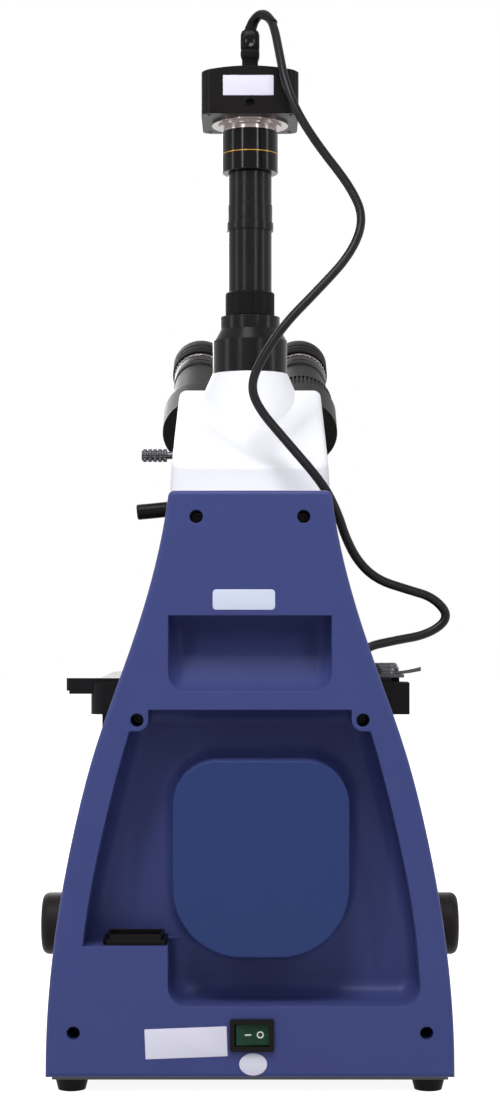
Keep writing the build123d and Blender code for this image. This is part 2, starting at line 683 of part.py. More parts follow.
for x in (-board_x / 2 + 6, board_x / 2 - 6):
    for y in (board_front + 6, board_back - 6):
        power_board += rod_up(x, y, bed, bed + board_stand, 3.0)

dial = rod_across(-dial_face - slip - dial_thick, -dial_face - slip,
                  dial_y, dial_z, dial_radius)
dial = fillet(dial.edges().filter_by(GeomType.CIRCLE).group_by(Axis.X)[0], 1.5)
brightness_dial = dial + rod_across(-dial_face - slip, -dial_face + casting_wall + 4,
                                    dial_y, dial_z, dial_shaft)

# Focus drive.
guide_face = hip_front - tongue_depth
guide_foot, guide_top = focus_z + guide_rise, hip_top - 2
slide_foot = focus_z + slide_rise


def dovetail(y0, y1, grow):
    """Plan view of the slide's tongue, or of the guide's way round it."""
    slope = tongue_spread / tongue_depth
    half0 = tongue_half + slope * (y0 - guide_face) + grow
    half1 = tongue_half + slope * (y1 - guide_face) + grow
    return [(-half0, y0), (half0, y0), (half1, y1), (-half1, y1)]


focus_guide = block(-guide_half_width, guide_half_width, guide_face, hip_front,
                    guide_foot, guide_top)
focus_guide -= prism_z(dovetail(guide_face - 1, hip_front + 1, slip),
                       guide_foot - 1, guide_top + 1)

slide_back = guide_face - slip
slide_top = stage_top - plate_thick - carrier_thick
pinion_tip = gear_r + tooth_tip * tooth_module
tongue_foot = focus_z + pinion_tip + lift_down + 1.0
tongue_top = hip_top + 8
focus_slide = block(-slide_half_width, slide_half_width, slide_front, slide_back,
                    slide_foot, slide_top)
focus_slide += prism_z(dovetail(slide_back, hip_front - slip, 0), tongue_foot,
                       tongue_top)
rack_seat = rack_line - rack_back
focus_slide -= block(-rack_half_width - slip, rack_half_width + slip, rack_seat,
                     hip_front, slide_foot - 1, tongue_top + 1)
focus_rack = Pos(0, rack_line, focus_z) * Rot(0, -90, 0) * rack(
    tooth_module, focus_teeth_down, focus_teeth_up, rack_back, 2 * rack_half_width)

# A gap of the pinion faces the rack, at -Y.
pinion_place = Pos(0, focus_y, focus_z) * Rot(0, 90, 0) * Rot(0, 0, -90)
pinion_half = rack_half_width + 0.6
focus_pinion = pinion_place * gear(tooth_module, pinion_teeth, -pinion_half,
                                   pinion_half, 0)
focus_pinion += rod_across(-coarse_in, coarse_in, focus_y, focus_z, shaft_radius)
focus_pinion -= rod_across(-coarse_in - 1, coarse_in + 1, focus_y, focus_z,
                           fine_shaft_radius + running)

coarse = rod_across(coarse_in, coarse_out, focus_y, focus_z, coarse_radius)
coarse = fillet(coarse.edges().filter_by(GeomType.CIRCLE), 2.0)
hub_in = cheek_out + free
coarse += rod_across(hub_in, coarse_in + 1, focus_y, focus_z, 12.0)
coarse -= rod_across(hub_in - 1, coarse_in, focus_y, focus_z, shaft_radius)
coarse -= rod_across(coarse_in - 1, coarse_out + 1, focus_y, focus_z,
                     fine_shaft_radius + running)
coarse_knobs = both_sides(coarse)
fine = rod_across(fine_in, fine_out, focus_y, focus_z, fine_radius)
fine = fillet(fine.edges().filter_by(GeomType.CIRCLE).group_by(Axis.X)[-1], knob_round)
shaft_in = 8.0
fine -= rod_across(fine_in - 1, fine_in + shaft_in, focus_y, focus_z, fine_shaft_radius)
fine_knobs = both_sides(fine)
fine_shaft = rod_across(-fine_in - shaft_in, fine_in + shaft_in, focus_y, focus_z,
                        fine_shaft_radius)

# Stage: carrier, bracket and travelling plate.
plate_foot = stage_top - plate_thick
carrier_top = plate_foot - slip
carrier_foot = stage_top - plate_thick - carrier_thick
drive_r = pitch_radius(tooth_module, drive_teeth)
drive_x = housing_half_x - drive_in
y_rack_line = drive_x - drive_r
carrier_half_x = y_rack_line - 0.4
plate_half_x = drive_x + plate_past_drive
rear_block_foot = stage_top - rear_block_drop
cond_axis_z = stage_top - cond_axis_drop

stage_bracket = block(-bracket_half_x, bracket_half_x, -bracket_front, slide_front,
                      carrier_foot - bracket_thick, carrier_foot)
stage_bracket = fillet(stage_bracket.edges().filter_by(Axis.Z).group_by(Axis.Y)[0],
                       12.0)
stage_bracket -= rod_up(0, 0, carrier_foot - bracket_thick - 1, carrier_foot + 1,
                        bracket_bore)
block_front = slide_front - rear_block_depth
stage_bracket += block(-rear_block_half, rear_block_half, block_front, slide_front,
                       rear_block_foot, carrier_foot - bracket_thick)
cond_axis_y = slide_front - small_module * (small_teeth / 2 + 2.4)
cond_rack_line = cond_axis_y - pitch_radius(small_module, small_teeth)
cond_back = block_front - slip           # rear face of the condenser's plate
lip = 2.0
cheek_plate = block(cond_plate_half + slip, rear_block_half,
                    cond_back - cond_plate_thick - slip - lip, block_front,
                    rear_block_foot, carrier_foot - bracket_thick)
cheek_plate += block(cond_plate_half - lip, cond_plate_half + slip,
                     cond_back - cond_plate_thick - slip - lip,
                     cond_back - cond_plate_thick - slip,
                     rear_block_foot, carrier_foot - bracket_thick)
stage_bracket += both_sides(cheek_plate)
stage_bracket -= rod_up(0, 0, carrier_foot - bracket_thick - 1, carrier_foot + 1,
                        bracket_bore)
small_room = small_module * (small_teeth / 2 + 2)
stage_bracket -= rod_across(-4.0, 4.0, cond_axis_y, cond_axis_z, small_room)
stage_bracket -= block(-4.0, 4.0, block_front - 1, cond_axis_y - 1.5,
                       rear_block_foot - 1, carrier_foot - bracket_thick - 4)
stage_bracket -= rod_across(-rear_block_half - 1, rear_block_half - 3, cond_axis_y,
                            cond_axis_z, cond_shaft + running)

stage_carrier = block(-carrier_half_x, carrier_half_x, -carrier_front, carrier_rear,
                      carrier_foot, carrier_top)
stage_carrier -= rod_up(0, 0, carrier_foot - 1, carrier_top + 1, port_radius)


def runner(grow):
    """The dovetail runner on the carrier, or its way in the plate."""
    wide = runner_half + runner_spread + grow
    return [(runner_half + grow, plate_foot - 1), (wide, plate_foot + runner_height + grow),
            (-wide, plate_foot + runner_height + grow), (-runner_half - grow, plate_foot - 1)]


for side in (1, -1):
    for grow, y0, y1 in ((0, -carrier_front, runner_rear),
                         (slip, -plate_front - 1, plate_rear + 20)):
        shape = make_face(Polyline(
            *[(side * runner_x + x, y0, z) for x, z in runner(grow)], close=True))
        shape = extrude(shape, y1 - y0, dir=(0, 1, 0))
        if grow:
            ways = shape if side == 1 else ways + shape
        else:
            stage_carrier += shape

stage_plate = block(-plate_half_x, plate_half_x, -plate_front, plate_rear,
                    plate_foot, stage_top)
stage_plate = fillet(stage_plate.edges().filter_by(Axis.Z).group_by(Axis.Y)[0],
                     plate_corner)
window = block(-window_half, window_half, -window_front, window_rear,
               plate_foot - 1, stage_top + 1)
stage_plate -= soften(window, window_corner, Axis.Z)
stage_plate -= ways


y_gear_z = carrier_foot + 0.4 + y_gear_high / 2
stage_carrier -= block(y_rack_line - rack_back, carrier_half_x + 1,
                       -carrier_front - 1, carrier_rear + 1, carrier_foot - 1,
                       carrier_foot + y_gear_high + 0.8)
y_rack = Pos(y_rack_line, drive_y, y_gear_z) * Rot(0, 0, -90) * rack(
    tooth_module, y_teeth_rear, y_teeth_front, rack_back, y_gear_high)

# The guide along the plate's rear edge, in which the cross bar runs.
x_rack_line = drive_y + drive_r
bar_front = x_rack_line + x_rack_back
bar_rear = bar_front + bar_depth
bar_top = stage_top + bar_proud
bar_foot = bar_top - bar_height
lip_foot = bar_foot - bar_lip
bar_right = housing_half_x + bar_past
housing_end = housing_half_x - housing_block
housing_foot = stage_top - housing_drop
x_gear_foot = plate_foot + 0.4
housing_rear = bar_rear + slip + housing_wall
drive_well = drive_r + tooth_module + 0.6
over_carrier = plate_foot + free
x_guide = block(-housing_half_x, housing_half_x, plate_rear, housing_rear,
                over_carrier, stage_top - housing_step)
for shape in both_sides(block(housing_end, housing_half_x, plate_rear, housing_rear,
                              housing_foot, over_carrier)):
    x_guide += shape
x_guide = fillet(x_guide.edges().filter_by(Axis.Z).group_by(Axis.X)[-1].group_by(
    Axis.Y)[-1], 6.0)
x_guide -= block(-housing_half_x - 1, housing_half_x + 1, bar_front - slip,
                 bar_rear + slip, lip_foot - slip, stage_top + 1)
x_guide -= block(-housing_half_x - 1, housing_half_x + 1,
                 x_rack_line - tooth_tip * tooth_module - 0.3, bar_front,
                 x_gear_foot - 0.2, x_gear_foot + drive_gear_high + 0.2)
well_round = rod_up(drive_x, drive_y, housing_foot - 1,
                    x_gear_foot + drive_gear_high + 0.2, drive_well)
x_guide -= well_round
stage_plate -= well_round

cross_bar = block(bar_left, bar_right, bar_front, bar_rear, bar_foot, bar_top)
cross_bar = fillet(cross_bar.edges().filter_by(Axis.Z).group_by(Axis.X)[-1], 2.0)
cross_bar += block(bar_left, bar_right - bar_lip_in, bar_front, bar_rear, lip_foot,
                   bar_foot)
x_rack = Pos(drive_x, x_rack_line, x_gear_foot + drive_gear_high / 2) * Rot(
    0, 0, 180) * rack(tooth_module, x_teeth_right, x_teeth_left, x_rack_back,
                      drive_gear_high)

hanger_foot = housing_foot - hanger_thick
hanger_half = y_knob_radius - 2
drive_hanger = block(drive_x - hanger_half, drive_x + hanger_half,
                     drive_y - hanger_half, housing_rear - 1, hanger_foot,
                     housing_foot)
drive_hanger = fillet(drive_hanger.edges().filter_by(Axis.Z).group_by(Axis.Y)[0], 9.0)
drive_hanger -= rod_up(drive_x, drive_y, hanger_foot - 1, housing_foot + 1,
                       sleeve_radius + running)
y_knob_top = hanger_foot - knob_gap
y_knob_foot = y_knob_top - y_knob_high
x_knob_top = y_knob_foot - knob_gap
y_gear_foot = y_gear_z - y_gear_high / 2
y_pinion = Pos(drive_x, drive_y, 0) * Rot(0, 0, 180) * gear(
    tooth_module, drive_teeth, y_gear_foot, y_gear_foot + y_gear_high, 0)
y_pinion += rod_up(drive_x, drive_y, y_knob_foot, y_gear_foot + y_gear_high + 0.3,
                   sleeve_radius)
y_pinion -= rod_up(drive_x, drive_y, y_knob_foot - 1, y_gear_foot + y_gear_high + 1,
                   x_shaft_radius + running)


def knob_up(top, high, radius, bore):
    knob = rod_up(drive_x, drive_y, top - high, top, radius)
    knob = fillet(knob.edges().filter_by(GeomType.CIRCLE), 1.2)
    return knob - rod_up(drive_x, drive_y, top - high - 1, top + 1, bore)


y_knob = knob_up(y_knob_top, y_knob_high, y_knob_radius, sleeve_radius)
x_knob = knob_up(x_knob_top, x_knob_high, x_knob_radius, x_shaft_radius)
x_pinion = Pos(drive_x, drive_y, 0) * Rot(0, 0, 90) * gear(
    tooth_module, drive_teeth, x_gear_foot, x_gear_foot + drive_gear_high, 0)
x_pinion += rod_up(drive_x, drive_y, x_knob_top - x_knob_high,
                   x_gear_foot + drive_gear_high, x_shaft_radius)

# Slide holder.
holder_foot, holder_top = bar_top, bar_top + holder_thick
pivot_x = pivot_in - holder_left
edge_y = slide_half_y + 0.1
slide_holder = block(-holder_left, slide_half_x + jaw_wide, edge_y,
                     edge_y + holder_deep, holder_foot, holder_top)
slide_holder += block(slide_half_x + 0.1, slide_half_x + jaw_wide, edge_y - jaw_reach,
                      edge_y + 1, holder_foot, holder_top)
slide_holder += block(-tail_half, tail_half, edge_y, bar_rear, holder_foot, holder_top)
slide_holder += block(-holder_left, pivot_x + cap_radius + 1, edge_y,
                      pivot_y + cap_radius + 1, holder_foot, holder_top)
slide_holder -= rod_up(pivot_x, pivot_y, holder_foot - 1, holder_top + 1, pivot_radius)
finger_foot = holder_top + slip
finger_top = finger_foot + finger_thick
bow = FilletPolyline((pivot_x, pivot_y), (pivot_x + 4, 20), (tip_x - 14, 3),
                     (tip_x - tip_wide / 2 - 0.1, tip_y), radius=9)
finger_plan = trace(bow, finger_wide) + Pos(pivot_x, pivot_y) * Circle(cap_radius - 0.8)
slide_finger = extrude(Pos(0, 0, finger_foot) * finger_plan, finger_thick,
                       dir=(0, 0, 1))
slide_finger -= block(tip_x - 0.1, tip_x + 12, tip_y - 12, tip_y + 12,
                      finger_foot - 1, finger_top + 1)
slide_finger += block(tip_x - 0.1 - tip_wide, tip_x - 0.1, tip_y - 3.4, tip_y + 3.4,
                      stage_top + free, finger_top)
lift_end = pivot_x - lever_reach
lever_root = pivot_x - cap_radius
thumb = make_face(Polyline(
    (pivot_x, pivot_y, finger_foot), (lever_root, pivot_y, finger_foot),
    (lever_root - 5, pivot_y, finger_foot + 0.5), (lift_end, pivot_y, finger_foot + 1.6),
    (lift_end, pivot_y, finger_foot + 3.8), (lever_root - 5, pivot_y, finger_top + 0.8),
    (lever_root, pivot_y, finger_top), (pivot_x, pivot_y, finger_top), close=True))
slide_finger += extrude(thumb, lever_wide, dir=(0, 1, 0))
slide_finger -= rod_up(pivot_x, pivot_y, finger_foot - 1, finger_top + 4,
                       pivot_radius + running)
cap_foot = finger_top + slip
cap = turned((0, 0), (cap_radius, 0), (cap_radius, cap_high * 0.42),
             (cap_radius - cap_step, cap_high * 0.5),
             (cap_radius - cap_step, cap_high - 1.2),
             (cap_radius - cap_step - 1.2, cap_high), (0, cap_high))
finger_pivot = Pos(pivot_x, pivot_y, cap_foot) * cap
slide_finger -= rod_up(pivot_x, pivot_y, cap_foot - slip, cap_foot + 9, cap_radius + free)
finger_pivot += rod_up(pivot_x, pivot_y, holder_foot, cap_foot + 1, pivot_radius)

# Condenser.
cond_top = stage_top - condenser_top_gap
nose_foot = cond_top - nose_long
sleeve_top = nose_foot - cone_long
flange_z = sleeve_top - sleeve_long
cond_foot = flange_z - flange_long
condenser = turned((0, cond_foot), (flange_r, cond_foot), (flange_r, flange_z),
                   (sleeve_r, flange_z), (sleeve_r, sleeve_top), (nose_r, nose_foot),
                   (nose_r, cond_top), (front_lens_r, cond_top),
                   (front_lens_r, cond_top - front_lens_high),
                   (0, cond_top - front_lens_high))
iris_z = cond_foot + iris_rise
iris_swing = iris_throw + degrees(asin((lever_half + free) / iris_disc))
slot_reach = flange_r * 1.6
slot_side = slot_reach * tan(radians(iris_swing))
condenser -= rod_up(0, 0, iris_z, iris_z + iris_high + 2 * slip, iris_disc + running)
condenser -= prism_z([(0, 0), (-slot_side, -slot_reach), (slot_side, -slot_reach)],
                     iris_z, iris_z + iris_high + 2 * slip)
condenser -= rod_up(0, 0, cond_foot - 1, iris_z + 1, mouth_r)
front_lens = turned((0, cond_top - front_lens_high),
                    (front_lens_r, cond_top - front_lens_high),
                    (front_lens_r, cond_top), (0, cond_top))
iris_foot = iris_z + slip
iris_lever = rod_up(0, 0, iris_foot, iris_foot + iris_high, iris_disc)
iris_lever += block(-lever_half, lever_half, -iris_reach, 0, iris_foot,
                    iris_foot + iris_high)
iris_lever += rod_up(0, -iris_reach, iris_foot, iris_foot + iris_high, 3.2)
iris_lever -= rod_up(0, 0, iris_foot - 1, iris_foot + iris_high + 1, 6.0)

ring_top = sleeve_top - ring_drop
condenser_carrier = rod_up(0, 0, ring_top - ring_high, ring_top, ring_r)
neck_half = cond_plate_half - lip - free
condenser_carrier += block(-neck_half, neck_half, 0, cond_back - 1,
                           ring_top - ring_high, ring_top)
condenser_carrier += block(-cond_plate_half, cond_plate_half,
                           cond_back - cond_plate_thick, cond_back,
                           cond_axis_z - cond_plate_low,
                           cond_axis_z + cond_plate_high)
condenser_carrier -= rod_up(0, 0, ring_top - ring_high - 1, ring_top + 1,
                            sleeve_r + slip)
condenser_rack = Pos(0, cond_rack_line, cond_axis_z) * Rot(0, -90, 0) * rack(
    small_module, cond_teeth_down, cond_teeth_up, cond_rack_line - cond_back, 6.0)
condenser_pinion = Pos(0, cond_axis_y, cond_axis_z) * Rot(0, 90, 0) * Rot(
    0, 0, -90) * gear(small_module, small_teeth, -3.4, 3.4, 0)
cond_knob_in = -rear_block_half - 8.0
condenser_pinion += rod_across(cond_knob_in - 2, rear_block_half - 3.4, cond_axis_y,
                               cond_axis_z, cond_shaft)
condenser_knob = rod_across(cond_knob_in - cond_knob_long, cond_knob_in, cond_axis_y,
                            cond_axis_z, cond_knob_radius)
condenser_knob = fillet(condenser_knob.edges().filter_by(GeomType.CIRCLE), 1.5)
condenser_knob -= rod_across(cond_knob_in - 2, cond_knob_in + 1, cond_axis_y,
                             cond_axis_z, cond_shaft)

# Nosepiece.
apex_down = ring_radius / tan(radians(nose_tilt))
apex_z = shoulder_z + ring_radius / sin(radians(nose_tilt))
lean_y, lean_z = sin(radians(nose_tilt)), cos(radians(nose_tilt))
turret_y, turret_z = apex_down * lean_y, apex_z - apex_down * lean_z
turret_frame = Location(Plane(origin=(0, turret_y, turret_z), x_dir=(1, 0, 0),
                              z_dir=(0, -lean_y, lean_z)))


def dish(radius):
    """Height of the turret's conical underside at one radius."""
    return (radius - ring_radius) * tan(radians(nose_tilt))


turret = turned((turret_pin + running, dish(turret_pin)),
                (turret_radius, dish(turret_radius)),
                (turret_radius, turret_thick), (turret_pin + running, turret_thick))


def seat(index):
    """Where one objective screws in; the first is over the stage."""
    return Rot(0, 0, 90 * index) * Pos(0, -ring_radius, 0) * Rot(-nose_tilt, 0, 0)


for index in range(4):
    turret -= seat(index) * rod_up(0, 0, -6, turret_thick + 6, thread_r + slip)
nosepiece_turret = turret_frame * turret
mount = turned((0, turret_thick + 0.15), (mount_radius, turret_thick + 0.15),
               (mount_radius, turret_thick + 40), (0, turret_thick + 40))
mount += turned((0, dish(turret_pin) - 0.2), (turret_pin, dish(turret_pin) - 0.2),
                (turret_pin, turret_thick + 1), (0, turret_thick + 1))
mount += turned((0, dish(turret_pin) - 3.0), (turret_pin + 2, dish(turret_pin) - 3.0),
                (turret_pin + 2, dish(turret_pin) - 0.2), (0, dish(turret_pin) - 0.2))
nosepiece_mount = turret_frame * mount
beyond = 3 * mount_radius
nosepiece_mount -= block(-beyond, beyond, -beyond, beyond, arm_under,
                         arm_under + beyond)
nosepiece_mount -= rod_up(0, 0, arm_under - 30, arm_under + 1, objective_bore)


def objective(size):
    """An objective: threads above z = 0, barrel, waist, and tip below."""
    length, barrel, waist, tip = size
    low = -length
    body = turned((0, 3.6), (thread_r, 3.6), (thread_r, -slip), (barrel, -slip),
                  (barrel, low * 0.42), (waist, low * 0.46), (waist, low * 0.8),
                  (tip, low + 1.0), (tip, low), (0, low))
    return body - rod_up(0, 0, low - 1, low + 0.6, tip * 0.45)


objectives = [turret_frame * seat(index) * objective(size) for index, size in
              enumerate((low_size, high_size, oil_size, scan_size))]

# Viewing head.
head_foot = arm_top + head_gap
head_top, head_back_top = head_foot + head_high, head_foot + head_back_high
cone_foot, cone_top = head_foot + cone_foot_high, head_foot + cone_high
tube_z, rod_z = head_foot + tube_rise, head_foot + rod_rise
lean = radians(tube_tilt)
out_y, out_z = -cos(lean), sin(lean)      # along the eyepiece tubes
up_y, up_z = sin(lean), cos(lean)         # square to them, upwards
drop = sqrt(arm_reach ** 2 - pupil_half ** 2)
hinge_y, hinge_z = tube_y - drop * up_y, tube_z - drop * up_z
hinge_frame = Location(Plane(origin=(0, hinge_y, hinge_z), x_dir=(1, 0, 0),
                             z_dir=(0, out_y, out_z)))


def front_y(z):
    """Where the head's sloping front lies at one height."""
    return hinge_y - free * out_y + (z - hinge_z + free * out_z) * up_y / up_z


side_view = [(front_y(head_foot) - 12, head_foot), (head_back, head_foot),
             (head_back, head_back_top), (head_crown, head_top),
             (front_y(head_top) - 12, head_top)]
head = prism_x(side_view, -head_foot_half - 1, head_foot_half + 1)
before = -3 * head_back
from_behind = make_face(Polyline(
    (-head_foot_half, before, head_foot), (head_foot_half, before, head_foot),
    (head_top_half, before, head_top), (-head_top_half, before, head_top), close=True))
head &= extrude(from_behind, 2 * abs(before), dir=(0, 1, 0))
rear_posts = head.faces().sort_by(Axis.Y)[-1].edges().filter_by(
    lambda e: abs(e.center().X) > head_top_half - 1)
head = fillet(rear_posts, head_corner)
top_sides = head.edges().filter_by(
    lambda e: abs(e.center().X) > head_top_half - 2 and e.center().Z > head_back_top + 1)
head = fillet(top_sides, head_edge)
cone_side = Spline((cone_foot_r, 0, cone_foot), (cone_mid_r, 0, head_foot + cone_mid_high),
                   (cone_r, 0, cone_top))
cone_ring = [cone_side, Line((cone_r, 0, cone_top), (0, 0, cone_top)),
             Line((0, 0, cone_top), (0, 0, cone_foot)),
             Line((0, 0, cone_foot), (cone_foot_r, 0, cone_foot))]
head += revolve(make_face(cone_ring), Axis.Z)
front_cut = hinge_frame * block(-90, 90, -90, 90, -free, 90)
head -= front_cut
head -= hinge_frame * rod_up(0, 0, -12 - slip, 1, hinge_pin + slip)
rod_bore = rod_across(rod_start - rod_neck_in - rod_pull - 2, rod_start + 1, rod_y,
                      rod_z, rod_neck_r + running)
head -= rod_bore
swivel_ring = turned((0, arm_top - swivel_deep),
                     (swivel_r + swivel_flare, arm_top - swivel_deep),
                     (swivel_r, arm_top), (swivel_r, head_foot), (0, head_foot))
swivel_ring -= rod_up(0, 0, arm_top - swivel_deep - 1, head_foot + 1, light_bore)
beam_rod = rod_across(rod_start, rod_end, rod_y, rod_z, rod_r)
beam_rod = fillet(beam_rod.edges().filter_by(GeomType.CIRCLE), 0.8)
beam_rod += rod_across(rod_start - rod_neck_in, rod_start + 1, rod_y, rod_z, rod_neck_r)
hinge_cap = hinge_frame * (rod_up(0, 0, -12, wing_deep + free, hinge_pin) + rod_up(
    0, 0, wing_deep + free, wing_deep + 3.0, hub_r - 4))

head_clamp = clamp_place * (
    Pos(0, 0, clamp_long / 2) * Cylinder(clamp_r, clamp_long))
head_clamp = fillet(head_clamp.edges().filter_by(GeomType.CIRCLE), 1.0)
head_clamp += clamp_place * (
    Pos(0, 0, -clamp_screw_long / 2 + 0.5) * Cylinder(clamp_screw_r, clamp_screw_long + 1))


def wing(side, layer):
    """One prism arm: a hub on the hinge, a web, and the tube's housing.

    The two hubs lie one in front of the other, so each arm fills only its
    own layer near the hinge."""
    tube_x, tube_up = side * pupil_half, drop
    turn = degrees(acos(drop / arm_reach)) * -side
    body = Pos(tube_x, tube_up, wing_deep / 2) * Cylinder(wing_r, wing_deep)
    web = Rot(0, 0, turn) * block(-web_half, web_half, 0, arm_reach, 0, wing_deep)
    body += web
    half = wing_deep / 2
    low, high = (0, half) if layer == 0 else (half, wing_deep)
    body += rod_up(0, 0, low, high, hub_r)
    if layer == 0:
        body -= rod_up(0, 0, half - slip, wing_deep + 1, wing_clear)
    else:
        body -= rod_up(0, 0, -1, half + slip, wing_clear)
    return body - rod_up(0, 0, -1, wing_deep + 1, hinge_pin + running)


def eye_tube(side):
    return Pos(side * pupil_half, drop, 0)


def ocular(side):
    """The eyepiece: its sleeve in the tube, its body and its eye lens."""
    sleeve = sleeve_bore - slip
    body = turned((0, tube_end - sleeve_in), (sleeve, tube_end - sleeve_in),
                  (sleeve, tube_end), (eyepiece_r - 1.5, tube_end),
                  (eyepiece_r, tube_end + 2), (eyepiece_r, cup_start),
                  (cup_r - cup_wall, cup_start), (cup_r - cup_wall, eyepiece_end + 6),
                  (lens_r, eyepiece_end + 6), (lens_r, eyepiece_end + 4),
                  (0, eyepiece_end + 4))
    return hinge_frame * eye_tube(side) * body


def eye_lens(side):
    disc = turned((0, eyepiece_end + 4), (lens_r, eyepiece_end + 4),
                  (lens_r, eyepiece_end + 5.2), (0, eyepiece_end + 5.8))
    return hinge_frame * eye_tube(side) * disc


def eyecup(side):
    ring = turned((cup_r - cup_wall, cup_start), (cup_r, cup_start + 1),
                  (cup_r, cup_end - 1.5), (cup_r - 1, cup_end),
                  (cup_r - cup_wall, cup_end - 0.6))
    return hinge_frame * eye_tube(side) * ring


def view_tube(side, start):
    tube = rod_up(0, 0, start, tube_end, tube_r)
    tube -= rod_up(0, 0, tube_end - sleeve_in - 1, tube_end + 1, sleeve_bore)
    return eye_tube(side) * tube


right_wing = wing(1, 0) + view_tube(1, wing_deep - 1)
left_wing = wing(-1, 1) + view_tube(-1, wing_deep - 1)
groove = rod_up(0, 0, diopter_start, diopter_end, diopter_r) - rod_up(
    0, 0, diopter_start - 1, diopter_end + 1, tube_r - 1.5)
left_wing -= eye_tube(-1) * (rod_up(0, 0, diopter_start - slip, diopter_end + slip,
                                    tube_r + 1) - rod_up(
    0, 0, diopter_start - 1, diopter_end + 1, tube_r - 1.5 - running))
diopter_ring = hinge_frame * eye_tube(-1) * groove
right_wing, left_wing = hinge_frame * right_wing, hinge_frame * left_wing

# Phototube, camera and its lead.
port = turned((0, 0), (port_r, 0), (port_r, port_step_z),
              (port_shoulder_r, port_shoulder_z), (port_neck_r, port_shoulder_z),
              (port_neck_r, port_neck_z), (0, port_neck_z))
port -= rod_up(0, 0, port_neck_z - tube_seat, port_neck_z + 1, camera_tube_r + running)
clamp_foot = port_neck_z + 0.1
tube_clamp_ring = rod_up(0, 0, clamp_foot, clamp_ring_top, clamp_ring_r)
tube_clamp_ring = fillet(tube_clamp_ring.edges().filter_by(GeomType.CIRCLE), 0.6)
tube_clamp_ring -= rod_up(0, 0, clamp_foot - 1, clamp_ring_top + 1,
                          camera_tube_r + running)
camera_tube = turned((0, port_neck_z - tube_seat + slip),
                     (camera_tube_r, port_neck_z - tube_seat + slip),
                     (camera_tube_r, tube_band_low), (tube_band_r, tube_band_low),
                     (tube_band_r, tube_band_high), (tube_belt_r, tube_band_high),
                     (tube_belt_r, tube_belt_high), (camera_tube_r, tube_belt_high),
                     (camera_tube_r, adapter_z), (0, adapter_z))
camera_adapter = rod_up(0, 0, adapter_z, adapter_top, adapter_r)
camera_adapter = fillet(camera_adapter.edges().filter_by(GeomType.CIRCLE), 0.6)
mount_flange = turned((0, adapter_top), (barrel_r, adapter_top), (barrel_r, barrel_top),
                      (step_r, barrel_top), (step_r, step_top),
                      (flange_disc_r, step_top), (flange_disc_r, flange_disc_z),
                      (0, flange_disc_z))
arch = ThreePointArc((camera_half_x, -camera_half_y, camera_shoulder),
                     (0, -camera_half_y, camera_crown),
                     (-camera_half_x, -camera_half_y, camera_shoulder))
camera_side = [Line((-camera_half_x, -camera_half_y, flange_disc_z),
                    (camera_half_x, -camera_half_y, flange_disc_z)),
               Line((camera_half_x, -camera_half_y, flange_disc_z), arch @ 0), arch,
               Line(arch @ 1, (-camera_half_x, -camera_half_y, flange_disc_z))]
camera_body = extrude(make_face(camera_side), 2 * camera_half_y, dir=(0, 1, 0))
camera_body = fillet(camera_body.edges().filter_by(Axis.Z), camera_corner)
camera_body -= rod_back(0, camera_half_y - socket_hole_deep, camera_half_y + 1,
                        socket_hole_z, socket_hole_r)
stack = Pos(0, 0, cone_top)
port, tube_clamp_ring, camera_tube, camera_adapter, mount_flange, camera_body = [
    stack * piece for piece in (port, tube_clamp_ring, camera_tube, camera_adapter,
                                mount_flange, camera_body)]
plug_foot = cone_top + camera_crown - 0.6
neck_top = cone_top + camera_crown + neck_high
lead_top = neck_top + plug_high
lead_plug = soften(block(-plug_x / 2, plug_x / 2, -plug_y / 2, plug_y / 2, neck_top,
                         lead_top), 2.2, Axis.Z)
lead_plug += block(-neck_x / 2, neck_x / 2, -neck_y / 2, neck_y / 2,
                   plug_foot, neck_top)
lead_plug -= camera_body

cord_points = [
    (0, 0, lead_top - 1), (-1.4, 1.4, 545.4), (-7.4, 9.0, 548.2), (-12.4, 17, 539.6),
    (-15.4, 26.5, 521.5), (-17.8, 33.5, 506.3), (-23.2, 38, 490.0),
    (-34.2, 40, 471.5), (-52.5, 44, 447.2), (-58.6, 48, 430.6),
    (-51.6, 54, 411.8), (-34.2, 60, 392.2), (-16.4, 64, 373.6),
    (-4.0, 67, 353.6), (-0.4, 68.5, 342.4), (-4.4, 70, 331.2),
    (-19.4, 75, 313.2), (-36.8, 81, 292.4), (-43.9, 81, 277.8),
    (-47.8, 80, 265.6), (-54.2, 79, 253.6), (-64.0, 77, 244.9),
    (-79.0, 75, 240.2), (-92.4, 73, 236.2), (-100.4, 73, 226.4),
    (-89.6, 75, 217.8), (-71.0, 79, 214.6), (-56.6, 83, 211.4),
    (-48.4, 84.4, 199.0), (-46.2, 84.2, 180.0), (-46.6, 84.0, 158.0),
    (-48.2, 82.0, 136.0), (-51.0, 74.0, 116.0), (-55.0, 56.0, 102.0),
    (-60.0, 34.0, 96.0), (-70.0, 8.0, 84.0), (-86.0, -20.0, 66.0),
    (-101.0, -48.0, 42.0), (-110.0, -78.0, 18.0), (-110.0, -104.0, 5.2),
    (-103.0, -130.0, cord_r + 0.6), (-92.0, -156.0, cord_r + 1.8),
    (-87.2, -177.0, cord_r + 4.4),
]


def corner_radii(points):
    """The largest tidy arc at each corner, from its two runs and its turn."""
    radii = []
    for before, here, after in zip(points, points[1:], points[2:]):
        into, out = Vector(*here) - Vector(*before), Vector(*after) - Vector(*here)
        turn = radians(into.get_angle(out))
        radii.append(0.45 * min(into.length, out.length) / tan(turn / 2))
    return radii


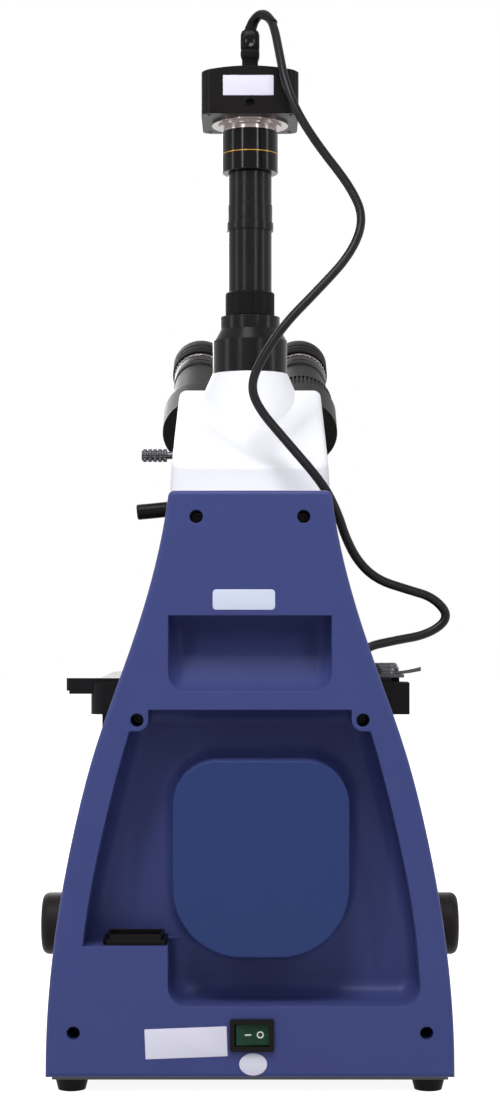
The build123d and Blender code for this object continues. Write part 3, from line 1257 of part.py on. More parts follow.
cord_radii = corner_radii(cord_points)
cord_path = FilletPolyline(*cord_points, radius=cord_radii)
lead_cord = sweep(Plane(origin=cord_points[0], z_dir=cord_path % 0) * Circle(cord_r),
                  path=cord_path)
swept_volume = lead_cord.volume
lead_cord -= lead_plug
cord_runs = [hypot(*(b - a for a, b in zip(p, q)))
             for p, q in zip(cord_points, cord_points[1:])]
print("cord length", round(cord_path.length), "mm; volume over section times length",
      round(swept_volume / (pi * cord_r ** 2 * cord_path.length), 4))
print("cord radii", [round(r) for r in cord_radii])
print("cord runs", [round(r) for r in cord_runs])

coil_foot = tie_wall + slip
ring_in, ring_out = coil_mid_r - coil_wide / 2, coil_mid_r + coil_wide / 2
coil = turned((ring_in, coil_foot), (ring_out, coil_foot),
              (ring_out, coil_foot + coil_high), (ring_in, coil_foot + coil_high))
coil = fillet(coil.edges().filter_by(GeomType.CIRCLE), cord_r)
far_body_x = coil_mid_r + 2.5
far_x, far_y = coil_x + far_body_x, coil_y - coil_mid_r - cord_r
tail = rod_across(coil_x, far_x, far_y, far_body_high / 2, cord_r)
cord_coil = Pos(coil_x, coil_y, 0) * coil
lead_cord -= cord_coil
cord_coil += tail
tie_outer = coil_y + coil_mid_r + coil_wide / 2
tie_inner = tie_outer - coil_wide - 0.9    # the coil's inner edge curves here
band = block(coil_x - tie_wide / 2, coil_x + tie_wide / 2, tie_inner - tie_wall,
             tie_outer + tie_wall, 0, coil_foot + coil_high + tie_wall)
band = soften(band, 2.0, Axis.X)
band -= block(coil_x - tie_wide, coil_x + tie_wide, tie_inner, tie_outer,
              tie_wall, coil_foot + coil_high)
coil_tie = band
far_body = soften(block(far_x, far_x + far_body_long, far_y - far_body_wide / 2,
                        far_y + far_body_wide / 2, 0, far_body_high), 2.0, Axis.X)
shell_foot = (far_body_high - far_shell_high) / 2
far_shell = block(far_x + far_body_long, far_x + far_body_long + far_shell_long,
                  far_y - far_shell_wide / 2, far_y + far_shell_wide / 2,
                  shell_foot, shell_foot + far_shell_high)
far_shell -= block(far_x + far_body_long + 2, far_x + far_body_long + far_shell_long + 1,
                   far_y - far_shell_wide / 2 + 0.4, far_y + far_shell_wide / 2 - 0.4,
                   shell_foot + far_shell_high / 2, shell_foot + far_shell_high - 0.4)

# Files.
cross_bar += x_rack
x_guide += drive_hanger
condenser_carrier += condenser_rack
head += swivel_ring
scan, low, high, oil = objectives[3], objectives[0], objectives[1], objectives[2]
pieces = {
    "base_casting": base_casting, "arm_casting": arm_casting,
    "back_panel": back_panel, "base_plate": base_plate,
    "rubber_feet": rubber_feet, "panel_screws": panel_screws,
    "mains_inlet": [mains_inlet] + inlet_pins,
    "switch_bezel": switch_bezel, "power_rocker": power_rocker,
    "field_collar": field_collar, "field_lens": field_lens,
    "lamp_module": lamp_module, "power_board": power_board,
    "brightness_dial": brightness_dial, "focus_guide": focus_guide,
    "focus_pinion": focus_pinion, "coarse_knobs": coarse_knobs,
    "fine_knobs": fine_knobs + [fine_shaft], "focus_slide": focus_slide,
    "focus_rack": focus_rack, "stage_bracket": stage_bracket,
    "stage_carrier": stage_carrier, "y_rack": y_rack, "stage_plate": stage_plate,
    "x_guide": x_guide, "cross_bar": cross_bar, "y_drive": [y_pinion, y_knob],
    "x_drive": [x_pinion, x_knob], "slide_holder": [slide_holder, finger_pivot],
    "slide_finger": slide_finger, "condenser": [condenser, front_lens],
    "iris_lever": iris_lever, "condenser_carrier": condenser_carrier,
    "condenser_knob": [condenser_knob, condenser_pinion],
    "nosepiece_mount": nosepiece_mount, "nosepiece_turret": nosepiece_turret,
    "scan_objective": scan, "low_objective": low, "high_objective": high,
    "oil_objective": oil, "head_housing": head, "head_clamp": head_clamp,
    "beam_rod": beam_rod, "hinge_pin": hinge_cap, "right_wing": right_wing,
    "left_wing": left_wing, "diopter_ring": diopter_ring,
    "right_eyepiece": [ocular(1), eye_lens(1), eyecup(1)],
    "left_eyepiece": [ocular(-1), eye_lens(-1), eyecup(-1)],
    "photo_port": port, "tube_clamp_ring": tube_clamp_ring,
    "camera_tube": camera_tube, "camera_adapter": camera_adapter,
    "mount_flange": mount_flange, "camera_body": camera_body,
    "lead_plug": lead_plug, "lead_cord": lead_cord, "cord_coil": cord_coil,
    "coil_tie": coil_tie, "far_plug": [far_body, far_shell],
}
os.makedirs("parts", exist_ok=True)
for name, shape in pieces.items():
    if isinstance(shape, list):
        shape = Compound(children=[s.solid() if len(s.solids()) == 1 else s
                                   for s in shape])
    export_step(shape, "parts/" + name + ".step")
print(len(pieces), "files")
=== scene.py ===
# %% [markdown]
# A bench microscope with three tubes, seen from behind, with a camera on top.
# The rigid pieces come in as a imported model, at their true places. This lesson
# adds what a model in metal and plastic lacks: the finishes, the knurling, the
# bare labels, the lead, and the light to see them in.

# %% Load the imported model
import bpy
import bmesh
from math import atan2, cos, pi, radians, sin
from mathutils import Matrix, Vector


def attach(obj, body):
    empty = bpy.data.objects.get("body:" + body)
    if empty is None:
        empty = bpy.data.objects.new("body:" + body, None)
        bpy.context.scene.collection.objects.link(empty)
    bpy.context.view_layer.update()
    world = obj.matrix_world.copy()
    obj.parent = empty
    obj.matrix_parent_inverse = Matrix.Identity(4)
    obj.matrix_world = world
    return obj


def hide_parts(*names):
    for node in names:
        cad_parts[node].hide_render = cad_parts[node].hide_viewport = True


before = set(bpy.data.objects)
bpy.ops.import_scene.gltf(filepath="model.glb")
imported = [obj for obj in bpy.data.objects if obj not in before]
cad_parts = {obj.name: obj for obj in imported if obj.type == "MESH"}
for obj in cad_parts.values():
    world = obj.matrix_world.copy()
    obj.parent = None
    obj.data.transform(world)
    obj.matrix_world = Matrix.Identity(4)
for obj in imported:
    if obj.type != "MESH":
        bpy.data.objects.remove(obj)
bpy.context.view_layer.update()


def mm(*values):
    """Millimetres to metres, for one length or for one point."""
    scaled = tuple(v / 1000 for v in values)
    return scaled if len(scaled) > 1 else scaled[0]


# %% [markdown]
# The camera comes first, because every other choice is judged through it. The
# microscope was photographed from behind with a long lens, a little above its
# middle. A long lens keeps the sides nearly parallel. The lens is raised with
# a small shift rather than tilted, so that upright edges stay upright.

# %% The camera
frame_high = 1099.0              # height of the picture, in its own pixels
pixels_per_radian = 2150.0       # how long the lens is, in the same pixels
eye_level_row = 608.0            # the row of pixels at the camera's own height

camera_data = bpy.data.cameras.new("view_from_behind")
camera_data.sensor_fit = "VERTICAL"
camera_data.sensor_height = 24.0
camera_data.lens = 24.0 * pixels_per_radian / frame_high
camera_data.shift_y = (eye_level_row - frame_high / 2) / frame_high
camera_data.clip_end = 20.0
camera = bpy.data.objects.new("view_from_behind", camera_data)
camera.location = mm(0.0, 1152.0, 231.0)
camera.rotation_euler = (pi / 2, 0.0, pi)
bpy.context.scene.collection.objects.link(camera)
bpy.context.scene.camera = camera
bpy.context.scene.view_settings.view_transform = "Standard"
print("lens", round(camera_data.lens, 1), "mm, shift", round(camera_data.shift_y, 4))

# %% [markdown]
# The lead is one fixed length of flexible cable, so it is a single smooth
# curve. It climbs out of its plug, folds over the camera, hangs down beside
# the tube and the head, and passes round the arm to the bench. Its spare
# length lies there as a neat coil, with the last turn running to the plug.
# A curve of this kind leans towards its control points without touching them,
# which is how a soft cable rounds its corners.

# %% The lead's route and its coil
lead_radius = mm(2.3)
route = [
    (0, 0, 539.8), (-1.4, 1.4, 545.4), (-7.4, 9.0, 548.2), (-12.4, 17, 539.6),
    (-15.4, 26.5, 521.5), (-17.8, 33.5, 506.3), (-23.2, 38, 490.0),
    (-34.2, 40, 471.5), (-52.5, 44, 447.2), (-58.6, 48, 430.6),
    (-51.6, 54, 411.8), (-34.2, 60, 392.2), (-16.4, 64, 373.6),
    (-4.0, 67, 353.6), (-0.4, 68.5, 342.4), (-4.4, 70, 331.2),
    (-19.4, 75, 313.2), (-36.8, 81, 292.4), (-43.9, 81, 277.8),
    (-47.8, 80, 265.6), (-54.2, 79, 253.6), (-64.0, 77, 244.9),
    (-79.0, 75, 240.2), (-92.4, 73, 236.2), (-100.4, 73, 226.4),
    (-89.6, 75, 217.8), (-71.0, 79, 214.6), (-56.6, 83, 211.4),
    (-48.4, 84.4, 199.0), (-46.2, 84.2, 180.0), (-46.6, 84.0, 158.0),
    (-48.2, 82.0, 136.0), (-51.0, 74.0, 116.0), (-55.0, 56.0, 102.0),
    (-60.0, 34.0, 96.0), (-70.0, 8.0, 84.0), (-86.0, -20.0, 66.0),
    (-101.0, -48.0, 42.0), (-110.0, -78.0, 18.0), (-110.0, -104.0, 5.2),
    (-103.0, -130.0, 2.9), (-92.0, -156.0, 4.1), (-87.2, -177.0, 6.7),
]
relief_route = route[:4]
coil_x, coil_y = -62.0, -186.0
upper, lower = 8.15, 3.55        # heights of the coil's two layers
coil_turns = [                   # radius and height where each turn starts
    (27.3, upper), (22.7, upper), (22.7, lower), (27.3, lower),
]
points_per_turn = 14
start_angle = radians(172)
end_angle = radians(270)
whole = 3 * 2 * pi + end_angle + 2 * pi - start_angle
steps = int(whole / (2 * pi) * points_per_turn)
for step in range(steps + 1):
    turned = whole * step / steps
    turn = min(int(turned / (2 * pi)), 3)
    into = turned / (2 * pi) - turn
    here = coil_turns[turn]
    after = coil_turns[min(turn + 1, 3)]
    ease = max(0.0, (into - 0.75) / 0.25)      # each turn steps over near its end
    radius = here[0] + (after[0] - here[0]) * ease
    height = here[1] + (after[1] - here[1]) * ease
    angle = start_angle + turned
    route.append((coil_x + radius * cos(angle), coil_y + radius * sin(angle), height))
far_plug_x = coil_x + 27.5
route.append((coil_x + 14.0, coil_y - 27.3, 3.8))
route.append((far_plug_x + 1.0, coil_y - 27.3, 4.0))


def cable(name, points, thick, widths=None):
    """A round cable along one smooth curve; widths let it swell or taper."""
    curve = bpy.data.curves.new(name, "CURVE")
    curve.dimensions = "3D"
    spline = curve.splines.new("NURBS")
    spline.points.add(len(points) - 1)
    for index, (point, place) in enumerate(zip(spline.points, points)):
        point.co = (*mm(*place), 1.0)
        point.radius = widths[index] if widths else 1.0
    spline.order_u = 3
    spline.use_endpoint_u = True
    spline.resolution_u = 10
    curve.bevel_depth = thick
    curve.bevel_resolution = 5
    curve.use_fill_caps = True
    piece = bpy.data.objects.new(name, curve)
    bpy.context.scene.collection.objects.link(piece)
    return piece


camera_lead = cable("camera_lead", route, lead_radius)
print(len(route), "points along the lead")

# %% [markdown]
# A finish is more than a colour. Paint has a faint unevenness, moulded plastic
# has a grain pressed in from the mould, and turned metal has fine rings. Each
# finish below starts from one plain shader and adds noise at the scale of the
# real surface, in millimetres, so that it reads well close up and far away.
# Black pieces get a low index of refraction, which weakens their mirror image.
# In a white room a glossy black would otherwise mirror the room and turn grey.

# %% A helper that makes a finish
def finish(name, colour, rough, metal=0.0, coat=0.0, ior=1.5, grain=0.5, depth=0.04,
           mottle=0.08, stretch=(1, 1, 1), edge=0.35):
    """A material with grain in mm, bump depth, mottled colour and soft edges."""
    material = bpy.data.materials.new(name)
    material.use_nodes = True
    nodes, links = material.node_tree.nodes, material.node_tree.links
    shader = nodes["Principled BSDF"]
    shader.inputs["Metallic"].default_value = metal
    shader.inputs["Coat Weight"].default_value = coat
    shader.inputs["Coat Roughness"].default_value = 0.12
    shader.inputs["IOR"].default_value = ior
    place = nodes.new("ShaderNodeTexCoord")
    scale = nodes.new("ShaderNodeMapping")
    scale.inputs["Scale"].default_value = stretch
    links.new(place.outputs["Object"], scale.inputs["Vector"])
    fine = nodes.new("ShaderNodeTexNoise")
    fine.inputs["Scale"].default_value = 1000.0 / grain
    fine.inputs["Detail"].default_value = 3.0
    links.new(scale.outputs["Vector"], fine.inputs["Vector"])
    broad = nodes.new("ShaderNodeTexNoise")
    broad.inputs["Scale"].default_value = 38.0
    broad.inputs["Detail"].default_value = 4.0
    links.new(scale.outputs["Vector"], broad.inputs["Vector"])
    tint = nodes.new("ShaderNodeMix")
    tint.data_type = "RGBA"
    tint.inputs["A"].default_value = (*[c * (1 - mottle) for c in colour], 1)
    tint.inputs["B"].default_value = (*[min(1, c * (1 + mottle)) for c in colour], 1)
    links.new(broad.outputs["Fac"], tint.inputs["Factor"])
    links.new(tint.outputs["Result"], shader.inputs["Base Color"])
    gloss = nodes.new("ShaderNodeMapRange")
    gloss.inputs["To Min"].default_value = max(0.02, rough - 0.06)
    gloss.inputs["To Max"].default_value = rough + 0.06
    links.new(broad.outputs["Fac"], gloss.inputs["Value"])
    links.new(gloss.outputs["Result"], shader.inputs["Roughness"])
    soft = nodes.new("ShaderNodeBevel")
    soft.samples = 4
    soft.inputs["Radius"].default_value = mm(edge)
    bump = nodes.new("ShaderNodeBump")
    bump.inputs["Strength"].default_value = 0.6
    bump.inputs["Distance"].default_value = mm(depth)
    links.new(fine.outputs["Fac"], bump.inputs["Height"])
    links.new(soft.outputs["Normal"], bump.inputs["Normal"])
    links.new(bump.outputs["Normal"], shader.inputs["Normal"])
    return material


# %% [markdown]
# The colours are matched: a dusty blue cover, a cool white enamel, and
# several blacks. Blacks need care. If they share one roughness, neighbouring
# pieces melt into one shape, so paint, anodising, mould and rubber all differ.

# %% The finishes
finishes = {
    "blue_cover": finish("blue_cover", (0.041, 0.053, 0.172), 0.36, ior=1.22,
                         grain=0.7, depth=0.05, mottle=0.06, edge=0.9),
    "white_enamel": finish("white_enamel", (0.70, 0.705, 0.75), 0.36, ior=1.35,
                           grain=1.6, depth=0.010, mottle=0.012, edge=0.8),
    "black_anodised": finish("black_anodised", (0.005, 0.004, 0.005), 0.24,
                             ior=1.24, grain=0.3, depth=0.01, mottle=0.2,
                             stretch=(1, 1, 6)),
    "crinkle_paint": finish("crinkle_paint", (0.009, 0.007, 0.007), 0.42,
                            ior=1.20, grain=0.9, depth=0.10, mottle=0.25),
    "black_paint": finish("black_paint", (0.006, 0.005, 0.006), 0.40, ior=1.18,
                          grain=0.6, depth=0.04, mottle=0.15),
    "black_mould": finish("black_mould", (0.005, 0.004, 0.004), 0.36, ior=1.18,
                          grain=0.4, depth=0.04, mottle=0.15),
    "black_gloss": finish("black_gloss", (0.003, 0.002, 0.002), 0.14, ior=1.24,
                          grain=0.5, depth=0.006, mottle=0.15),
    "soft_rubber": finish("soft_rubber", (0.006, 0.005, 0.006), 0.55, ior=1.18,
                          grain=0.7, depth=0.05, mottle=0.2),
    "knob_rubber": finish("knob_rubber", (0.012, 0.009, 0.011), 0.48, ior=1.18,
                          grain=0.5, depth=0.05, mottle=0.15),
    "warm_steel": finish("warm_steel", (0.30, 0.26, 0.25), 0.22, metal=1.0,
                         grain=0.35, depth=0.012, mottle=0.06, stretch=(1, 1, 12)),
    "satin_aluminium": finish("satin_aluminium", (0.62, 0.60, 0.58), 0.26,
                              metal=1.0, grain=0.35, depth=0.012, mottle=0.06,
                              stretch=(1, 1, 12)),
    "bright_chrome": finish("bright_chrome", (0.72, 0.71, 0.70), 0.13, metal=1.0,
                            grain=0.5, depth=0.004, mottle=0.04),
    "gunmetal": finish("gunmetal", (0.075, 0.072, 0.078), 0.28, metal=0.9, grain=0.4,
                       depth=0.02, mottle=0.15),
    "turned_brass": finish("turned_brass", (0.68, 0.49, 0.22), 0.28, metal=1.0,
                           grain=0.3, depth=0.01, mottle=0.1, stretch=(12, 1, 1)),
    "zinc_plate": finish("zinc_plate", (0.05, 0.05, 0.052), 0.38, metal=0.8,
                         grain=5.0, depth=0.01, mottle=0.16),
    "dark_screw": finish("dark_screw", (0.010, 0.010, 0.011), 0.35, metal=0.6,
                         grain=0.3, depth=0.02, mottle=0.2),
    "cable_sheath": finish("cable_sheath", (0.005, 0.004, 0.006), 0.32,
                           ior=1.24, grain=0.8, depth=0.03, mottle=0.2),
    "green_lens": finish("green_lens", (0.009, 0.042, 0.022), 0.24,
                         ior=1.18, grain=1.2, depth=0.01, mottle=0.12),
    "plain_label": finish("plain_label", (0.52, 0.57, 0.70), 0.38, grain=0.8,
                          depth=0.006, mottle=0.02),
    "paper_label": finish("paper_label", (0.60, 0.59, 0.70), 0.50, grain=0.4,
                          depth=0.006, mottle=0.02),
    "print_white": finish("print_white", (0.72, 0.75, 0.76), 0.40, grain=0.5,
                          depth=0.003, mottle=0.03),
    "gold_line": finish("gold_line", (0.50, 0.26, 0.03), 0.30, metal=0.5,
                        grain=0.4, depth=0.004, mottle=0.08),
    "red_band": finish("red_band", (0.42, 0.02, 0.02), 0.35, grain=0.5,
                       depth=0.004, mottle=0.05),
    "yellow_band": finish("yellow_band", (0.60, 0.40, 0.02), 0.35, grain=0.5,
                          depth=0.004, mottle=0.05),
    "blue_band": finish("blue_band", (0.04, 0.16, 0.50), 0.35, grain=0.5,
                        depth=0.004, mottle=0.05),
    "circuit_green": finish("circuit_green", (0.02, 0.12, 0.05), 0.35, grain=0.5,
                            depth=0.02, mottle=0.2),
}


def glass(name, colour, rough=0.03):
    """Coated optical glass: clear, with a faint tint in its reflection."""
    material = finish(name, colour, rough, coat=0.6, grain=9.0, depth=0.001,
                      mottle=0.05)
    shader = material.node_tree.nodes["Principled BSDF"]
    shader.inputs["Transmission Weight"].default_value = 0.85
    shader.inputs["IOR"].default_value = 1.52
    return material


finishes["coated_glass"] = glass("coated_glass", (0.80, 0.86, 0.90))
print(len(finishes), "finishes")

# %% [markdown]
# The raised pad in the middle of the cover gets painted shade: a deeper blue than
# the rest, standing in for the shade on its face. The cover is one moulding, so its
# finish is told where the pad's face lies: a box in the object's own coordinates,
# which only that face reaches into.

# %% Painted shade on the raised pad, as a deeper blue
cover = finishes["blue_cover"].node_tree
where_on = cover.nodes.new("ShaderNodeSeparateXYZ")
place = next(n for n in cover.nodes if n.bl_idname == "ShaderNodeTexCoord")
cover.links.new(place.outputs["Object"], where_on.inputs["Vector"])
pad_shade_mask = None
for axis, middle, half in (("X", -5.25, 42.0), ("Y", 133.0, 1.0), ("Z", 111.8, 46.9)):
    near = cover.nodes.new("ShaderNodeMath")
    near.operation = "COMPARE"
    near.inputs[1].default_value, near.inputs[2].default_value = mm(middle), mm(half)
    cover.links.new(where_on.outputs[axis], near.inputs[0])
    if pad_shade_mask is None:
        pad_shade_mask = near
        continue
    joined = cover.nodes.new("ShaderNodeMath")
    joined.operation = "MULTIPLY"
    cover.links.new(pad_shade_mask.outputs["Value"], joined.inputs[0])
    cover.links.new(near.outputs["Value"], joined.inputs[1])
    pad_shade_mask = joined
# painted shade: the pad's face is mixed to a deeper blue that stands in for shade, not
# a colour of its own
painted_pad_shade = cover.nodes.new("ShaderNodeMix")
painted_pad_shade.data_type = "RGBA"
painted_pad_shade.inputs["B"].default_value = (0.019, 0.036, 0.126, 1)
cover.links.new(pad_shade_mask.outputs["Value"], painted_pad_shade.inputs["Factor"])
cover_shader = cover.nodes["Principled BSDF"]
old = cover_shader.inputs["Base Color"].links[0]
cover.links.new(old.from_socket, painted_pad_shade.inputs["A"])
cover.links.new(painted_pad_shade.outputs["Result"], cover_shader.inputs["Base Color"])
print("the pad has its own shade")

# %% [markdown]
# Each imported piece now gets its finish. The list reads like a parts list.
# Where a piece needs ribs or lenses of its own, a turned piece takes its place
# further on.

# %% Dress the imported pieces
dress = {
    "blue_cover": ["back_panel"],
    "white_enamel": ["base_casting", "arm_casting", "head_housing"],
    "black_anodised": ["nosepiece_turret", "photo_port", "camera_tube", "condenser",
                       "iris_lever", "field_collar", "condenser_carrier",
                       "diopter_ring", "condenser_knob", "tube_clamp_ring"],
    "crinkle_paint": ["right_wing", "left_wing", "hinge_pin"],
    "black_paint": ["stage_plate", "stage_carrier", "stage_bracket", "focus_slide",
                    "x_guide", "cross_bar"],
    "black_mould": ["mains_inlet", "switch_bezel", "brightness_dial", "head_clamp",
                    "y_drive", "x_drive", "lead_plug", "coil_tie", "far_plug",
                    "camera_body", "right_eyepiece", "left_eyepiece"],
    "black_gloss": ["camera_adapter"],
    "soft_rubber": ["rubber_feet"],
    "knob_rubber": ["coarse_knobs", "fine_knobs"],
    "gunmetal": ["slide_holder", "slide_finger", "beam_rod"],
    "warm_steel": ["mount_flange"],
    "satin_aluminium": ["lamp_module", "nosepiece_mount", "focus_guide"],
    "bright_chrome": ["scan_objective", "low_objective", "high_objective",
                      "oil_objective"],
    "turned_brass": ["focus_rack", "y_rack", "focus_pinion"],
    "zinc_plate": ["base_plate"],
    "dark_screw": ["panel_screws"],
    "cable_sheath": ["lead_cord", "cord_coil"],
    "green_lens": ["power_rocker"],
    "coated_glass": ["field_lens"],
    "circuit_green": ["power_board"],
}
for look, names in dress.items():
    for name in names:
        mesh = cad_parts[name].data
        mesh.materials.clear()
        mesh.materials.append(finishes[look])
missing = set(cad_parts) - {n for names in dress.values() for n in names}
print("dressed", sum(len(v) for v in dress.values()), "pieces; left over", missing)

# %% [markdown]
# A revolved outline is the natural way to make turned pieces. The helper takes
# pairs of radius and height, and a number of ribs that may be cut into chosen
# stretches. Cutting ribs into the outline keeps the piece inside its true
# diameter, as a knurling wheel or a mould would.

# %% Helpers for turned pieces
def place_at(x, y, z, along=(0, 0, 1)):
    """A frame at a point in mm: its third axis lies along the one given."""
    up = Vector(along).normalized()
    side = Vector((0, 1, 0)) if abs(up.x) > 0.9 else Vector((1, 0, 0))
    third = up.cross(side).normalized()
    side = third.cross(up)
    turn = Matrix((side, third, up)).transposed().to_4x4()
    return Matrix.Translation(mm(x, y, z)) @ turn


def add_object(name, mesh, body, look):
    piece = bpy.data.objects.new(name, mesh)
    bpy.context.scene.collection.objects.link(piece)
    mesh.materials.append(finishes[look])
    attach(piece, body)
    return piece


def turned_piece(name, outline, where, body, look, ribs=0, cut=0.3, sides=96):
    """Turns an outline of (radius, height, ribbed) into a closed ring or body."""
    if ribs:
        sides = ribs * 4
    mesh = bpy.data.meshes.new(name)
    build = bmesh.new()
    rings = []
    for radius, height, *ribbed in outline:
        if radius < 1e-6:
            rings.append([build.verts.new(where @ Vector(mm(0, 0, height)))])
            continue
        ring = []
        for side in range(sides):
            r = radius
            if ribbed and ribbed[0] and side % 4 in (2, 3):
                r -= cut
            angle = 2 * pi * side / sides
            ring.append(build.verts.new(
                where @ Vector(mm(r * cos(angle), r * sin(angle), height))))
        rings.append(ring)
    closed = outline[0][0] > 1e-6
    for low, high in zip(rings, rings[1:] + (rings[:1] if closed else [])):
        if len(low) == 1 and len(high) == 1:
            continue
        for side in range(max(len(low), len(high))):
            nxt = (side + 1) % max(len(low), len(high))
            corners = [low[side % len(low)], low[nxt % len(low)],
                       high[nxt % len(high)], high[side % len(high)]]
            build.faces.new(list(dict.fromkeys(corners)))
    bmesh.ops.recalc_face_normals(build, faces=build.faces)
    build.to_mesh(mesh)
    build.free()
    for face in mesh.polygons:
        face.use_smooth = True
    mesh.set_sharp_from_angle(angle=radians(32))
    return add_object(name, mesh, body, look)


def grip_band(name, radius, low, high, where, body, look, ribs, cut):
    """A ribbed band, a tenth proud of the wall that it wraps."""
    inner, outer = radius - 0.5, radius + 0.1
    return turned_piece(name, [
        (inner, low), (outer - cut, low), (outer, low + 0.4),
        (outer, low + 0.5, True), (outer, high - 0.5, True), (outer, high - 0.4),
        (outer - cut, high), (inner, high)], where, body, look, ribs, cut)


# %% [markdown]
# Labels, plugs and pads are flat or boxy. One helper raises a flat outline by
# its thickness and softens the rim. The other joins a row of rounded
# rectangles of different sizes into one skin, which suits moulded plugs.

# %% Helpers for flat and moulded pieces
def rounded(wide, high, radius, steps=6):
    """The outline of a rectangle with round corners, about its middle."""
    corners = []
    for quarter, (sx, sy) in enumerate(((1, 1), (-1, 1), (-1, -1), (1, -1))):
        for step in range(steps + 1):
            angle = pi / 2 * (quarter + step / steps)
            corners.append((sx * (wide / 2 - radius) + radius * cos(angle),
                            sy * (high / 2 - radius) + radius * sin(angle)))
    return corners


def plate(name, corners, thick, where, body, look, bevel=0.3):
    """A flat piece from its outline in mm, with a small rounded edge."""
    mesh = bpy.data.meshes.new(name)
    build = bmesh.new()
    foot = [build.verts.new(mm(x, y, 0.0)) for x, y in corners]
    face = build.faces.new(foot)
    grown = bmesh.ops.extrude_face_region(build, geom=[face])
    lifted = [v for v in grown["geom"] if isinstance(v, bmesh.types.BMVert)]
    bmesh.ops.translate(build, verts=lifted, vec=mm(0, 0, thick))
    if bevel:
        rim = [e for e in build.edges if all(v in lifted for v in e.verts)]
        bmesh.ops.bevel(build, geom=rim, offset=mm(bevel), segments=3,
                        affect="EDGES", profile=0.6)
    bmesh.ops.transform(build, matrix=where, verts=build.verts)
    bmesh.ops.recalc_face_normals(build, faces=build.faces)
    build.to_mesh(mesh)
    build.free()
    mesh.set_sharp_from_angle(angle=radians(40))
    return add_object(name, mesh, body, look)


def moulded(name, sections, where, body, look):
    """A skin over rounded rectangles, given as (height, wide, deep, radius)."""
    mesh = bpy.data.meshes.new(name)
    build = bmesh.new()
    rings = [[build.verts.new(where @ Vector(mm(x, y, height)))
              for x, y in rounded(wide, deep, radius)]
             for height, wide, deep, radius in sections]
    for low, high in zip(rings, rings[1:]):
        for side in range(len(low)):
            nxt = (side + 1) % len(low)
            build.faces.new([low[side], low[nxt], high[nxt], high[side]])
    build.faces.new(rings[0])
    build.faces.new(rings[-1])
    bmesh.ops.recalc_face_normals(build, faces=build.faces)
    build.to_mesh(mesh)
    build.free()
    for face in mesh.polygons:
        face.use_smooth = True
    mesh.set_sharp_from_angle(angle=radians(34))
    return add_object(name, mesh, body, look)


# %% [markdown]
# The cover carries three bare labels. They are thin, so they stand only a
# tenth of a millimetre proud. The lower one was stuck on slightly crooked, and
# a copy that is too straight looks drawn rather than stuck on.

# %% Labels on the cover and the camera
facing_back = Matrix.Rotation(pi, 4, "Z") @ Matrix.Rotation(pi / 2, 4, "X")


def on_back(x, y, z, turn=0.0):
    """A frame on a face that looks backwards, its axes right and up as seen."""
    return Matrix.Translation(mm(x, y, z)) @ facing_back @ Matrix.Rotation(
        radians(turn), 4, "Z")


plate("upper_label", rounded(29.6, 9.7, 1.7), 0.12, on_back(2.9, 133.0, 235.0),
      "stand", "plain_label", 0.05)
plate("lower_label", rounded(39.0, 14.2, 0.4), 0.12, on_back(30.3, 133.0, 24.9, 2.2),
      "stand", "paper_label", 0.04)
oval = [(6.6 * cos(2 * pi * i / 48), 5.3 * sin(2 * pi * i / 48)) for i in range(48)]
plate("round_label", oval, 0.12, on_back(-1.5, 133.0, 14.7), "stand",
      "paper_label", 0.04)
plate("camera_label", rounded(26.6, 10.6, 0.4), 0.12, on_back(0.9, 24.5, 505.2),
      "camera", "paper_label", 0.04)
print("four labels")

# %% [markdown]
# The rocker is a translucent green key, bent in at its middle, with a bar and
# a ring printed on it. The marks ride with the rocker, so they tip with it.

# %% Marks on the rocker switch
rocker_turn = Matrix.Translation(mm(-0.9, 130.0, 28.6)) @ Matrix.Rotation(
    radians(6.0), 4, "Z")
half_width, end_high, dip = 7.9, 3.4, 0.9
slope = atan2(dip, half_width)


def on_rocker(x):
    """A frame on the rocker's face, which is bent in at its middle."""
    height = end_high - dip + dip * abs(x) / half_width
    lean = slope if x > 0 else -slope
    return rocker_turn @ Matrix.Translation(mm(x, height, 0.0)) @ Matrix.Rotation(
        lean, 4, "Z") @ facing_back


plate("mark_on", rounded(3.1, 0.66, 0.15), 0.06, on_rocker(2.1), "rocker",
      "print_white", 0)
turned_piece("mark_off", [(1.05, 0), (1.7, 0), (1.7, 0.06), (1.05, 0.06)],
             on_rocker(-3.7), "rocker", "print_white", sides=40)

# %% Blades of the mains inlet
inlet_x, inlet_y, blade_foot, blade_top = 54.8, 118.0, 60.0, 70.9
for index, (x, y) in enumerate(((0, 2), (7, -2), (-7, -2))):
    moulded(f"inlet_blade_{index}", [
        (blade_foot, 2.1, 4.1, 0.2), (blade_top - 0.8, 2.1, 4.1, 0.2),
        (blade_top, 1.3, 3.3, 0.2)], place_at(inlet_x + x, inlet_y + y, 0),
        "stand", "bright_chrome")
print("three blades")

# %% [markdown]
# The tube carries the camera in a knurled ring. Straight knurling is a row of
# fine grooves, so the ring is turned again here with ribs cut into its wall,
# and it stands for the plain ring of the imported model.

# %% The knurled ring and the gold line
ring_foot, ring_top = 386.5, 399.6
knurled = turned_piece("knurled_ring", [
    (11.68, ring_foot), (12.5, ring_foot), (13.0, ring_foot + 0.5),
    (13.1, ring_foot + 0.9), (13.1, ring_foot + 1.0, True),
    (13.1, ring_top - 1.0, True), (13.1, ring_top - 0.9), (13.0, ring_top - 0.4),
    (12.6, ring_top), (11.68, ring_top)],
    place_at(0, 0, 0), "ring", "black_mould", ribs=60, cut=0.35)
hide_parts("tube_clamp_ring")
turned_piece("gold_ring", [(14.9, 473.3), (15.04, 473.3), (15.04, 473.75),
                           (14.9, 473.75)], place_at(0, 0, 0), "camera", "gold_line")
print("knurled ring with 60 grooves")

# %% [markdown]
# Each eyepiece has a soft cup with shallow folds, a fluted band that catches
# the light in specks, a plain body and a domed eye lens in clear glass. They
# are separate turned pieces on one axis, which leans back by thirty degrees.

